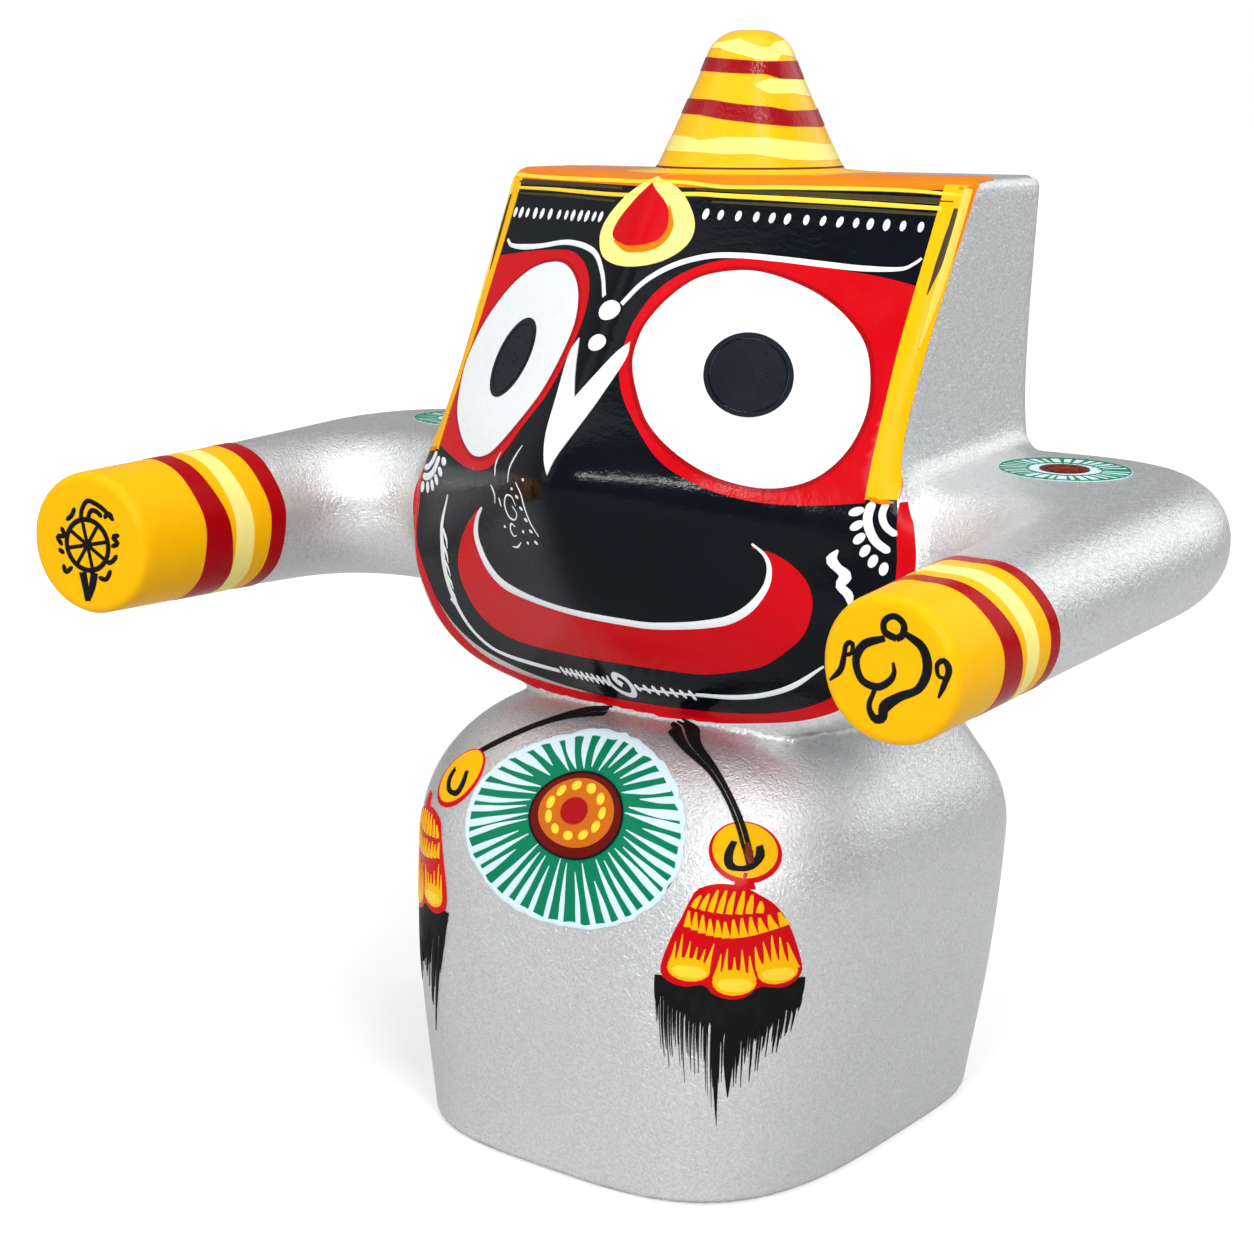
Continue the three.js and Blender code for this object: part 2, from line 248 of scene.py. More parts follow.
def arms(x, y, z):
    """One bent bar through the shoulders, its ends cut flat as hands."""
    aside = np.abs(x)
    hand = clamp(x / HEAD_HALF_WIDTH, -1, 1)
    back = clamp((y + HAND_REACH) / HAND_REACH, -0.3, 1.2)
    radius = HAND_RADIUS - UNEVEN["radius"] * hand
    inside = HAND_INSIDE - UNEVEN["inside"] * hand - ARM_TAPER * back
    outside = HAND_OUTSIDE - UNEVEN["outside"] * hand + (SHOULDER_SPREAD + UNEVEN["spread"] * hand) * back
    bend = soft_union(inside - aside, -SHOULDER_FRONT - y, ARMPIT_FILLET)
    corner = rounded_edge(aside - outside, y - SHOULDER_BACK, SHOULDER_CORNER)
    rise = SHOULDER_RISE + UNEVEN["rise"] * hand
    centre = HEAD_TOP - HAND_DROP + UNEVEN["lift"] * hand + rise * back
    half = radius + (SHOULDER_THICKENING - UNEVEN["thickening"] * hand) * back
    forearm_edge = half - FOREARM_FLAT
    shoulder = clamp((y + 2 * SHOULDER_FRONT) / (2.5 * SHOULDER_FRONT), 0, 1)
    edge = forearm_edge + (SHOULDER_EDGE - forearm_edge) * shoulder
    bar = rounded_edge(np.maximum(bend, corner), np.abs(z - centre) - half, edge)
    turn = HAND_TURN - UNEVEN["turn"] * hand
    end = -(y + HAND_REACH) + turn * ((HAND_INSIDE + HAND_OUTSIDE) / 2 - aside)
    return rounded_edge(bar, end, HAND_EDGE)


# Meshing: the fine block's cell and box, and how its vertices settle onto the surface
CELL = 1.25
NET_LOW = (-(HAND_OUTSIDE + 8), -(HAND_REACH + 6), -3.1)
NET_HIGH = (HAND_OUTSIDE + 8, BODY_BACK + 4, HEIGHT + 3)
BASE_EDGE = 1.2
SETTLES = 4
HALVINGS = 18
SLOPE_STEP = 0.05
CURVE_STEPS = 16
LEAST_SLOPE = 0.25

# Paint: how far a coat stands off the wood, how much each further coat adds, how deep it reaches in,
# and how much a stroke rises in its middle, at most and as a share of its width
LIFT = 0.08
COAT = 0.06
UNDER = 0.3
BEAD = 0.07
BEAD_SHARE = 0.14
# A filled coat's grid: its rows as a share of its spacing, and the gap to its outline as another
ROW_SHARE = 0.87
OUTLINE_GAP = 0.55
BLOB_POINTS = 16
SHARP_ANGLE = 50
# Points round a limb's coat
ROUND = 96

RANDOM = np.random.default_rng(11)


def block(x, y, z):
    """The whole figure, with its lower edge a little rounded."""
    upper = soft_union(arms(x, y, z), head(x, y, z), ARM_HEAD_FILLET)
    lower = soft_union(body(x, y, z), neck(x, y, z), NECK_FILLET)
    whole = soft_union(upper, lower, BODY_HEAD_FILLET)
    whole = soft_union(whole, crown(x, y, z), CROWN_FILLET)
    return rounded_edge(whole, -z, BASE_EDGE)


def slope(points):
    """The block's gradient at each point."""
    columns = []
    for step in np.eye(3) * SLOPE_STEP:
        columns.append((block(*(points + step).T) - block(*(points - step).T)) / (2 * SLOPE_STEP))
    return np.column_stack(columns)


def unit(vectors):
    """The same vectors with a length of one."""
    return vectors / np.maximum(np.linalg.norm(vectors, axis=-1, keepdims=True), 1e-9)


def settled(points):
    """The points moved onto the block's surface."""
    for _ in range(SETTLES):
        steep = slope(points)
        share = block(*points.T) / np.maximum((steep ** 2).sum(-1), LEAST_SLOPE)
        points = points - share[:, None] * steep
    return points


def surface_net(low, high):
    """The block's surface: a vertex in each crossed cell and a quad at each crossed edge."""
    axes = [np.arange(a, b + CELL, CELL) for a, b in zip(low, high)]
    values = block(*np.meshgrid(*axes, indexing="ij"))
    within = (values < 0).astype(int)
    cells = np.array(values.shape) - 1
    corners = np.zeros(cells, int)
    for i, j, k in np.ndindex(2, 2, 2):
        corners += within[i:i + cells[0], j:j + cells[1], k:k + cells[2]]
    crossed = (corners > 0) & (corners < 8)
    number = np.full(cells, -1)
    number[crossed] = np.arange(crossed.sum())
    sums = np.zeros((crossed.sum(), 3))
    seen = np.zeros(crossed.sum())
    quads = []
    for axis in range(3):
        near = np.take(values, range(cells[axis]), axis)
        far = np.take(values, range(1, cells[axis] + 1), axis)
        at = np.argwhere((near < 0) != (far < 0))
        start = near[tuple(at.T)]
        ahead = np.zeros((len(at), 3))
        ahead[:, axis] = start / (start - far[tuple(at.T)])
        place = np.array(low) + CELL * (at + ahead)
        u = np.roll((1, 0, 0), axis + 1)
        v = np.roll((1, 0, 0), axis + 2)
        around = [number[tuple((at - du * u - dv * v).T)] for du, dv in ((0, 0), (1, 0), (1, 1), (0, 1))]
        for index in around:
            np.add.at(sums, index, place)
            np.add.at(seen, index, 1)
        quad = np.column_stack(around)
        quad[start >= 0] = quad[start >= 0][:, ::-1]
        quads.append(quad)
    return settled(sums / seen[:, None]), np.concatenate(quads)


def lengths(line):
    """How far along a line each of its points lies."""
    return np.concatenate([[0], np.cumsum(np.linalg.norm(np.diff(line, axis=0), axis=1))])


def resampled(line, count):
    """The same line with a given number of points at even steps."""
    along = lengths(line)
    even = np.linspace(0, along[-1], count)
    return np.column_stack([np.interp(even, along, column) for column in line.T])


def curve(points, step=0.5, closed=False):
    """Points at even steps along a smooth curve through the given ones."""
    knots = np.array(points, float)
    if closed:
        knots = np.vstack([knots[-1:], knots, knots[:2]])
    else:
        knots = np.vstack([2 * knots[0] - knots[1], knots, 2 * knots[-1] - knots[-2]])
    t = np.linspace(0, 1, CURVE_STEPS, endpoint=False)[:, None]
    spans = []
    for a, b, c, d in zip(knots, knots[1:], knots[2:], knots[3:]):
        bend = (2 * a - 5 * b + 4 * c - d) * t ** 2 + (3 * b - a - 3 * c + d) * t ** 3
        spans.append(0.5 * (2 * b + (c - a) * t + bend))
    dense = np.vstack([*spans, knots[-2]])
    line = resampled(dense, max(int(round(lengths(dense)[-1] / step)), 4) + 1)
    return line[:-1] if closed else line


def sideways(line, closed=False):
    """The direction to the left of a line at each of its points."""
    if closed:
        ahead = np.roll(line, -1, axis=0) - np.roll(line, 1, axis=0)
    else:
        ahead = np.gradient(line, axis=0)
    ahead = unit(ahead)
    return np.column_stack([-ahead[:, 1], ahead[:, 0]])


def spread(values, count):
    """A list of values spread evenly over a number of places."""
    return np.interp(np.linspace(0, 1, count), np.linspace(0, 1, len(values)), values)


def turns(count):
    """Angles at even steps round a circle."""
    return np.linspace(0, 2 * math.pi, count, endpoint=False)


def cast(inner, outer, field=block):
    """Where the surface lies between an inner and an outer point, by halving."""
    for _ in range(HALVINGS):
        middle = (inner + outer) / 2
        within = (field(*middle.T) < 0)[:, None]
        inner = np.where(within, middle, inner)
        outer = np.where(within, outer, middle)
    return (inner + outer) / 2


# Charts: each takes flat places to places on the surface, cast from inside the block
FRONT_CLEAR = -85.0
FACE_INSIDE = 10.0
HAND_INNER = -62.0
SHOULDER_INNER = 100.0
SHOULDER_CLEAR = 126.0
# Marks on the face stay within this share of the head's outline
OUTLINE_SHARE = 0.992


def front(flat, inside=FACE_INSIDE):
    """(x, z) in the front view, cast along Y onto the face and chest."""
    inner = np.insert(flat, 1, inside, axis=1)
    outer = np.insert(flat, 1, FRONT_CLEAR, axis=1)
    return cast(inner, outer)


def face(flat):
    """(x, z) in the front view, cast onto the face and kept just inside the head's outline."""
    x, z = flat.T
    over = np.maximum(jaw_reach(x, z) / OUTLINE_SHARE, 1)
    lowered = np.where(z < LOBE_HEIGHT, LOBE_HEIGHT - (LOBE_HEIGHT - z) / over, z)
    return front(np.column_stack([x / over, lowered]))


def on_hand(flat):
    """(x, z) in the front view, cast onto the hands' flat ends."""
    return front(flat, HAND_INNER)


def from_above(flat):
    """(x, y) seen from above, cast down onto the shoulders."""
    return cast(np.insert(flat, 2, SHOULDER_INNER, axis=1), np.insert(flat, 2, SHOULDER_CLEAR, axis=1))


def faces_of_grid(rows, columns, closed=False):
    """Quads of a grid of vertices stored row by row, whose last row may meet the first."""
    i, j = np.meshgrid(np.arange(rows if closed else rows - 1), np.arange(columns - 1), indexing="ij")
    here = (i * columns + j).ravel()
    below = (((i + 1) % rows) * columns + j).ravel()
    return [tuple(q) for q in np.column_stack([here, here + 1, below + 1, below]).tolist()]


def between(one, other, columns, power=1.0):
    """Places in columns from one line to another, row by row; a power over 1 crowds them at the first."""
    share = np.linspace(0, 1, columns)[None, :, None] ** power
    return (one[:, None] * (1 - share) + other[:, None] * share).reshape(-1, one.shape[1])


def coat(surface, faces, level, rise=0.0):
    """A thin closed shell of paint on surface points: its top, its underside in the wood, its edge."""
    normal = unit(slope(surface))
    first = np.array([f[:3] for f in faces])
    a, b, c = (surface[first[:, i]] for i in range(3))
    facing = (np.cross(b - a, c - a) * normal[first[:, 0]]).sum()
    if facing < 0:
        faces = [f[::-1] for f in faces]
    stand = LIFT + COAT * level + rise
    top = surface + normal * np.broadcast_to(stand, len(surface))[:, None]
    count = len(surface)
    vertices = np.vstack([top, surface - normal * UNDER])
    edges = {(f[i - 1], f[i]) for f in faces for i in range(len(f))}
    walls = [(b, a, a + count, b + count) for a, b in sorted(edges) if (b, a) not in edges]
    under = [tuple(i + count for i in f[::-1]) for f in faces]
    return vertices, faces + walls + under


def within_outline(places, outline):
    """Which places lie inside a closed outline."""
    inside = np.zeros(len(places), bool)
    x, z = places.T
    for (x0, z0), (x1, z1) in zip(outline, np.roll(outline, -1, axis=0)):
        spans = (z0 > z) != (z1 > z)
        if spans.any():
            inside ^= spans & (x < x0 + (z - z0) * (x1 - x0) / (z1 - z0))
    return inside


def fill(chart, outline, level, spacing=1.2):
    """A coat over everything inside a closed outline, on a triangular grid."""
    outline = np.array(outline)
    low = outline.min(0)
    high = outline.max(0)
    rows = []
    for i, z in enumerate(np.arange(low[1], high[1], spacing * ROW_SHARE)):
        xs = np.arange(low[0] + (i % 2) * spacing / 2, high[0], spacing)
        rows.append(np.column_stack([xs, np.full(len(xs), z)]))
    grid = np.vstack(rows)
    grid = grid[within_outline(grid, outline)]
    if len(grid):
        gap = np.min([np.hypot(*(grid - p).T) for p in outline], axis=0)
        grid = grid[gap > OUTLINE_GAP * spacing]
    flat = np.vstack([outline, grid])
    count = len(outline)
    edges = [(i, (i + 1) % count) for i in range(count)]
    found = delaunay_2d_cdt([Vector(p) for p in flat.tolist()], edges, [], 1, 1e-6)
    vertices = np.array([tuple(v) for v in found[0]])
    return coat(chart(vertices), [tuple(f) for f in found[2]], level)


def strip(chart, one, other, level, columns, closed=False):
    """A coat between two lines of the same number of points."""
    return coat(chart(between(one, other, columns)), faces_of_grid(len(one), columns, closed), level)


def stroke(chart, points, width, level, step=0.5, closed=False, bead=BEAD):
    """A ribbon of paint along a smooth path, a little thicker in its middle.

    width is one number, for round ends, or a list of widths at even shares of the path.
    """
    line = curve(points, step, closed)
    if np.isscalar(width):
        widths = np.full(len(line), float(width))
        if not closed:
            along = np.linspace(0, 1, len(line))
            near_end = np.minimum(along, 1 - along) * lengths(line)[-1] / (0.5 * width)
            widths *= np.sqrt(1 - (1 - np.clip(near_end, 0.06, 1)) ** 2)
    else:
        widths = spread(width, len(line))
    across = np.array([-1, -0.6, 0, 0.6, 1])
    flat = line[:, None] + sideways(line, closed)[:, None] * (widths[:, None] * 0.5 * across)[:, :, None]
    rise = np.minimum(bead, BEAD_SHARE * widths)[:, None] * (1 - across ** 2)
    faces = faces_of_grid(len(line), len(across), closed)
    return coat(chart(flat.reshape(-1, 2)), faces, level, rise.ravel())


def strokes(chart, pairs, level, step=0.5):
    """A stroke for each pair of a path and its widths."""
    return [stroke(chart, points, width, level, step) for points, width in pairs]


def oval(centre, half_width, half_height, turn=0.0, count=72):
    """The outline of an ellipse, turned by degrees."""
    angle = turns(count)
    c = math.cos(math.radians(turn))
    s = math.sin(math.radians(turn))
    flat = np.column_stack([half_width * np.cos(angle), half_height * np.sin(angle)])
    return np.array(centre) + flat @ np.array([[c, s], [-s, c]])


def blob(chart, centre, half_width, half_height, level, turn=0.0, bead=0.1):
    """A small domed oval of paint, in rings round a small middle face."""
    rings = [0.0, 0.4, 0.75, 1.0]
    edge = oval((0, 0), half_width, half_height, turn, BLOB_POINTS)
    flat = np.vstack([np.array(centre) + edge * max(r, 0.02) for r in rings])
    faces = [tuple(range(BLOB_POINTS))]
    for inner in range(0, BLOB_POINTS * (len(rings) - 1), BLOB_POINTS):
        outer = inner + BLOB_POINTS
        for i in range(BLOB_POINTS):
            j = (i + 1) % BLOB_POINTS
            faces.append((inner + j, inner + i, outer + i, outer + j))
    rise = np.repeat([bead * (1 - r * r) for r in rings], BLOB_POINTS)
    return coat(chart(flat), faces, level, rise)


def sleeve(rows, reach, level):
    """A coat round a limb, cast outward from rows of (inner places, directions), its first row capped."""
    inner = np.stack([places for places, _ in rows], 1).reshape(-1, 3)
    ahead = np.stack([towards for _, towards in rows], 1).reshape(-1, 3)
    faces = faces_of_grid(ROUND, len(rows), True)
    faces.append(tuple(i * len(rows) for i in range(ROUND)))
    return coat(cast(inner, inner + ahead * reach), faces, level)


def mesh_object(name, vertices, faces, material, normals=None):
    """A mesh object in metres, smooth, with the given material."""
    mesh = bpy.data.meshes.new(name)
    mesh.from_pydata((np.asarray(vertices) * MM).tolist(), [], faces)
    mesh.polygons.foreach_set("use_smooth", np.ones(len(mesh.polygons), bool))
    mesh.materials.append(material)
    mesh.update()
    if normals is not None:
        mesh.normals_split_custom_set_from_vertices(normals.tolist())
    piece = bpy.data.objects.new(name, mesh)
    bpy.context.scene.collection.objects.link(piece)
    return piece


def painted(name, paint, *coats):
    """One piece of paint made of several coats; paint is its slot and its material, and its slot is not used.
    """
    slot, material = paint
    faces = []
    count = 0
    for places, polygons in coats:
        faces += [tuple(i + count for i in f) for f in polygons]
        count += len(places)
    piece = mesh_object(name, np.vstack([places for places, _ in coats]), faces, material)
    piece.data.set_sharp_from_angle(angle=math.radians(SHARP_ANGLE))
    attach(piece, "root")
    return piece


# Materials
def node(tree, kind, inputs=None, **settings):
    """A shader node with its settings and inputs; an input is a value or another node's output."""
    made = tree.nodes.new(kind)
    for key, value in settings.items():
        setattr(made, key, value)
    for key, value in (inputs or {}).items():
        if isinstance(value, bpy.types.NodeSocket):
            tree.links.new(value, made.inputs[key])
        else:
            made.inputs[key].default_value = value
    return made


def new_material(name):
    """An empty material, its node tree and the place on the object."""
    material = bpy.data.materials.new(name)
    material.use_nodes = True
    tree = material.node_tree
    tree.nodes.clear()
    place = node(tree, "ShaderNodeTexCoord").outputs["Object"]
    return material, tree, place


def shaded(tree, inputs):
    """The material's surface: one shader with the given inputs."""
    shader = node(tree, "ShaderNodeBsdfPrincipled", inputs)
    node(tree, "ShaderNodeOutputMaterial", {"Surface": shader.outputs["BSDF"]})


def grain(tree, place, scale, detail, stretch=(1, 1, 1), distortion=0.0, roughness=0.55):
    """Noise at a number of waves a metre, stretched along the axes."""
    inputs = {"Vector": place, "Scale": stretch}
    stretched = node(tree, "ShaderNodeMapping", inputs).outputs["Vector"]
    inputs = {"Vector": stretched, "Scale": scale, "Detail": detail, "Roughness": roughness,
              "Distortion": distortion}
    return node(tree, "ShaderNodeTexNoise", inputs).outputs["Fac"]


def ranged(tree, value, low, high, to_low, to_high):
    """A value mapped from one range to another."""
    inputs = {"Value": value, "From Min": low, "From Max": high, "To Min": to_low, "To Max": to_high}
    return node(tree, "ShaderNodeMapRange", inputs).outputs["Result"]


def times(tree, one, other):
    """The product of two values."""
    return node(tree, "ShaderNodeMath", {0: one, 1: other}, operation="MULTIPLY").outputs[0]


def blended(tree, share, one, other):
    """A colour between two, by a share."""
    mix = node(tree, "ShaderNodeMix", data_type="RGBA")
    tree.links.new(share, mix.inputs["Factor"])
    for socket, colour in (("A", one), ("B", other)):
        target = [s for s in mix.inputs if s.name == socket and s.type == "RGBA"][0]
        target.default_value = (*colour, 1)
    return [s for s in mix.outputs if s.type == "RGBA"][0]


def bumped(tree, height, depth, strength=1.0, onto=None):
    """A bump of the given depth in metres."""
    inputs = {"Height": height, "Distance": depth, "Strength": strength}
    if onto is not None:
        inputs["Normal"] = onto
    return node(tree, "ShaderNodeBump", inputs).outputs["Normal"]


# Waves a metre of a paint's brushed streaks, its mottling and its fine speckle
BRUSHED = 520
MOTTLED = 140
SPECKLED = 1700


def enamel(slot, name, colour, thin, roughness=0.24, depth=0.00006, gloss=0.09, along=(1, 1, 0.45)):
    """Hand-brushed gloss paint: thin is its colour where the brush ran dry, along its strokes' stretch."""
    material, tree, place = new_material(name)
    brushed = grain(tree, place, BRUSHED, detail=5, stretch=along)
    mottled = grain(tree, place, MOTTLED, detail=3)
    share = ranged(tree, mottled, 0.45, 0.75, 0.0, 0.7)
    fine = ranged(tree, brushed, 0.35, 0.7, 0.0, 0.35)
    base = blended(tree, times(tree, share, fine), colour, thin)
    rough = ranged(tree, mottled, 0.3, 0.7, roughness * 0.75, roughness * 1.35)
    speckle = grain(tree, place, SPECKLED, detail=2)
    first = bumped(tree, speckle, depth * 0.4)
    normal = bumped(tree, brushed, depth, onto=first)
    shaded(tree, {"Base Color": base, "Roughness": rough, "Normal": normal, "Specular IOR Level": gloss})
    return slot + "_enamel", material


def silver_paint():
    """Silver foil paint over wood: crinkled like leaf, with slow waves under it."""
    material, tree, place = new_material("silver_paint")
    crinkle = grain(tree, place, 2300, detail=3, distortion=0.6, roughness=0.6)
    leaf = grain(tree, place, 750, detail=4, distortion=1.6, roughness=0.55)
    wave = grain(tree, place, 60, detail=2)
    share = ranged(tree, crinkle, 0.40, 0.62, 0.0, 1.0)
    base = blended(tree, share, (0.67, 0.68, 0.69), (0.80, 0.805, 0.81))
    rough = ranged(tree, leaf, 0.3, 0.7, 0.26, 0.42)
    slow = bumped(tree, wave, 0.0006, 0.4)
    creased = bumped(tree, leaf, 0.00026, 0.6, onto=slow)
    normal = bumped(tree, crinkle, 0.00016, 0.8, onto=creased)
    shaded(tree, {"Base Color": base, "Roughness": rough, "Normal": normal, "Metallic": 0.85})
    return material


# Each paint: its slot and name, its colour, its colour where thin, roughness, bump depth and gloss
BLACK = enamel("black", "black_enamel", (0.003, 0.004, 0.007), (0.010, 0.011, 0.017), 0.13, 0.00006, 0.11,
               (0.45, 1, 1))
BRUSH_BLACK = enamel("black", "brush_black", (0.005, 0.005, 0.006), (0.035, 0.035, 0.038), 0.42, 0.00005,
                     0.08)
PUPIL_BLACK = enamel("black", "pupil_black", (0.008, 0.011, 0.017), (0.018, 0.024, 0.034), 0.34, 0.00006, 0.1)
RED = enamel("red", "red_enamel", (0.57, 0.001, 0.006), (0.68, 0.006, 0.012), 0.22)
DEEP_RED = enamel("red", "deep_red_enamel", (0.36, 0.001, 0.004), (0.50, 0.004, 0.008), 0.24)
DARK_RED = enamel("red", "dark_red_enamel", (0.12, 0.002, 0.002), (0.22, 0.004, 0.004), 0.3)
YELLOW = enamel("yellow", "yellow_enamel", (0.90, 0.46, 0.001), (0.95, 0.58, 0.003), 0.3)
CROWN_YELLOW = enamel("yellow", "crown_yellow", (0.90, 0.49, 0.001), (0.94, 0.60, 0.006), 0.2, 0.00009, 0.28)
ORANGE = enamel("yellow", "orange_enamel", (0.74, 0.19, 0.001), (0.90, 0.36, 0.004), 0.28)
LEMON = enamel("yellow", "lemon_enamel", (0.94, 0.63, 0.04), (0.97, 0.74, 0.12), 0.3)
CREAM = enamel("yellow", "cream_enamel", (0.92, 0.80, 0.24), (0.96, 0.88, 0.46), 0.32)
CROWN_CREAM = enamel("yellow", "crown_cream", (0.92, 0.76, 0.20), (0.96, 0.88, 0.46), 0.2, 0.00009, 0.3)
CROWN_RED = enamel("red", "crown_red", (0.32, 0.001, 0.005), (0.46, 0.004, 0.008), 0.16, 0.00016, 0.3)
SAND = enamel("yellow", "sand_enamel", (0.92, 0.58, 0.09), (0.95, 0.72, 0.22), 0.3)
OLIVE = enamel("yellow", "olive_shade", (0.05, 0.038, 0.014), (0.20, 0.13, 0.03), 0.3)
GREEN = enamel("green", "green_enamel", (0.001, 0.19, 0.09), (0.006, 0.28, 0.15), 0.3)
WHITE = enamel("white", "white_enamel", (0.80, 0.83, 0.86), (0.90, 0.91, 0.92), 0.3)
COOL_WHITE = enamel("white", "cool_white_enamel", (0.62, 0.78, 0.84), (0.76, 0.87, 0.91), 0.3)
BROWN = enamel("yellow", "brown_enamel", (0.55, 0.13, 0.006), (0.66, 0.2, 0.01), 0.3)
RIM_BROWN = enamel("red", "dark_rim", (0.16, 0.02, 0.004), (0.3, 0.04, 0.008), 0.3)


def carved_block():
    """The block itself, bare silver wherever no paint lies."""
    vertices, quads = surface_net(NET_LOW, NET_HIGH)
    faces = [tuple(q) for q in quads.tolist()]
    piece = mesh_object("carved_block", vertices, faces, silver_paint(), unit(slope(vertices)))
    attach(piece, "root")
    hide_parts("jagannath_figure")


# Face: the black ground, its borders and stripes
BLACK_OUTLINE = [
    (0, 154.0), (20, 154.0), (40, 154.0), (44.6, 153.9), (44.6, 150), (44.0, 130), (44.6, 115), (46.0, 109.5),
    (47.4, 104), (47.9, 98), (47.5, 94), (45.8, 90), (43.4, 85.6), (41, 82), (38, 79.0), (33.5, 76.4),
    (25.8, 74.2), (17.4, 72.9), (9.1, 72.4), (0, 72.2),
]
SIDE_BAND = {
    -1: [(-45.2, -41.4, 154.6), (-45.2, -41.4, 150), (-44.9, -41.2, 140), (-44.7, -41.1, 130),
         (-45.2, -41.6, 118), (-45.8, -41.7, 113), (-46.6, -41.8, 109.6)],
    1: [(41.2, 45.1, 154.4), (41.2, 45.1, 150), (41.1, 45.0, 140), (41.1, 44.9, 130),
        (41.6, 45.2, 118), (41.9, 45.6, 113), (42.1, 46.0, 109.6)],
}
BROW_LINES = [
    ([(-40.1, 143.7), (-38.1, 142.9), (-33.3, 142.9), (-27.8, 143.4), (-22.2, 144.2), (-18.3, 144.4),
      (-13.3, 144.0), (-9.4, 142.9), (-5.6, 140.2), (-3.1, 137.3)], [0.5, 0.9, 0.75, 0.8, 0.85, 0.8, 0.75]),
    ([(1.1, 136.4), (3.3, 139.7), (6.7, 142.2), (11.1, 143.6), (15.6, 143.8), (21.1, 143.4), (27.8, 142.7),
      (33.3, 142.2), (38.3, 142.2), (40, 143), (40.8, 143.8)], [0.75, 0.85, 0.8, 0.8, 0.85, 0.8, 0.4]),
]
# The narrow V between the eyes, side by side: its outer left, outer right, inner right and inner left
NOSE_MARK = [
    [(-5.3, 131.0), (-6.4, 128.6), (-5.6, 123.6), (-4.2, 118), (-2.2, 114.1), (-0.6, 111.8)],
    [(-0.6, 111.8), (0.1, 114.1), (1.7, 118), (3.6, 123.6), (5, 128.6), (4.7, 131.0)],
    [(4.7, 131.0), (3.2, 129.4), (1.1, 125.8), (-0.8, 122.7)],
    [(-0.8, 122.7), (-3.1, 126.6), (-5.3, 131.0)],
]
# Rows of dots over the brows: their places along X, then first and last height, half width, half height
DOT_ROWS = [
    ([-40.4, -38.4, -36.2, -33.6, -31.3, -28.6, -25.7, -23.3, -21.2, -18.9, -16.8, -14.6, -12.6],
     148.2, 148.7, 0.55, 0.85),
    ([8.7, 10.9, 13.5, 16.1, 18.4, 20.6, 23.3, 25.7, 28.1, 30.4, 32.4, 34.7, 37, 39.5],
     149.8, 148.3, 0.45, 0.8),
]
PUPIL_SPECKS = 16
# Each eye: its white, the red field round it, and its pupil's middle, half length, half width and turn
EYES = {
    "left": {
        "white": [(-41, 122.4), (-40.3, 126.9), (-38.1, 131.3), (-33.9, 136.1), (-28.9, 139.4),
                  (-23.9, 140.9), (-18.9, 141.2), (-14.4, 139.9), (-10.6, 137.2), (-8.3, 133), (-8.6, 128),
                  (-10.3, 123), (-13.3, 118.6), (-17.2, 114.4), (-21.1, 111.9), (-26.1, 111), (-31.1, 112.2),
                  (-35.6, 114.4), (-38.9, 117.2)],
        "field": [(-41.4, 141.0), (-36, 141.7), (-30.6, 142.4), (-22.2, 143.1), (-17.2, 143.1),
                  (-12.2, 141.6), (-8.3, 138.6), (-6.4, 134.1), (-6.7, 128), (-8.6, 122.4), (-11.7, 118),
                  (-14.4, 114.1), (-18.3, 110.8), (-23.3, 109.1), (-28.9, 108.8), (-34.4, 109.4),
                  (-41.9, 110.4)],
        "pupil": ((-24.2, 126.2), 6.7, 5.3, 52),
    },
    "right": {
        "white": [(5.7, 131.3), (6.1, 134.1), (7.8, 137.4), (10.6, 140.2), (14.4, 141.4), (18.9, 141.5),
                  (23.9, 140.2), (28.9, 138), (33.3, 134.9), (36.7, 131.1), (38.6, 126.3), (39.3, 121.3),
                  (38.3, 116.3), (35.6, 112.7), (31.7, 111.1), (27.2, 111.1), (21.7, 112.7), (16.1, 115.8),
                  (11.1, 119.9), (7.8, 124.7), (6.1, 128.3)],
        "field": [(41.5, 139.7), (36.7, 140.9), (30.6, 141.9), (23.9, 142.9), (18.3, 143.3), (13.3, 143.1),
                  (8.9, 141.4), (5.8, 138.6), (4.2, 134.7), (3.9, 131.3), (4.7, 126.9), (6.7, 123),
                  (10, 119.1), (14.4, 114.7), (18.9, 111.9), (23.9, 109.9), (29.4, 108.8), (35.6, 108.6),
                  (42.2, 109.1)],
        "pupil": ((22.4, 126.7), 7.0, 5.2, 140),
    },
}


# Strokes on each side band, drawn for the side at +X: name, paint, path, widths and level
SIDE_STROKES = [
    ("shadow", OLIVE, [(43.6, 151.0), (43.6, 147.5), (43.3, 143), (42.9, 138.6)], [0.5, 0.95, 0.8, 0.15], 3),
    ("light", SAND, [(44.4, 153.8), (44.3, 148), (44.0, 140), (43.6, 131)], [0.9, 0.8, 0.8, 0.2], 4),
    ("foot", ORANGE, [(42.3, 109.9), (44.0, 109.3), (45.7, 109.2)], [0.2, 0.7, 0.5, 0.7, 0.2], 3),
]
SIDE_POINTS = 48
# The head's top paint: its half width, its lower edge, how deep in the head its rays start and their length
TOP_HALF = 44.9
TOP_FOOT = 153.7
TOP_DEPTH = 9
TOP_RAY = 40
TOP_COLUMNS = 30
LINE_POINTS = 110
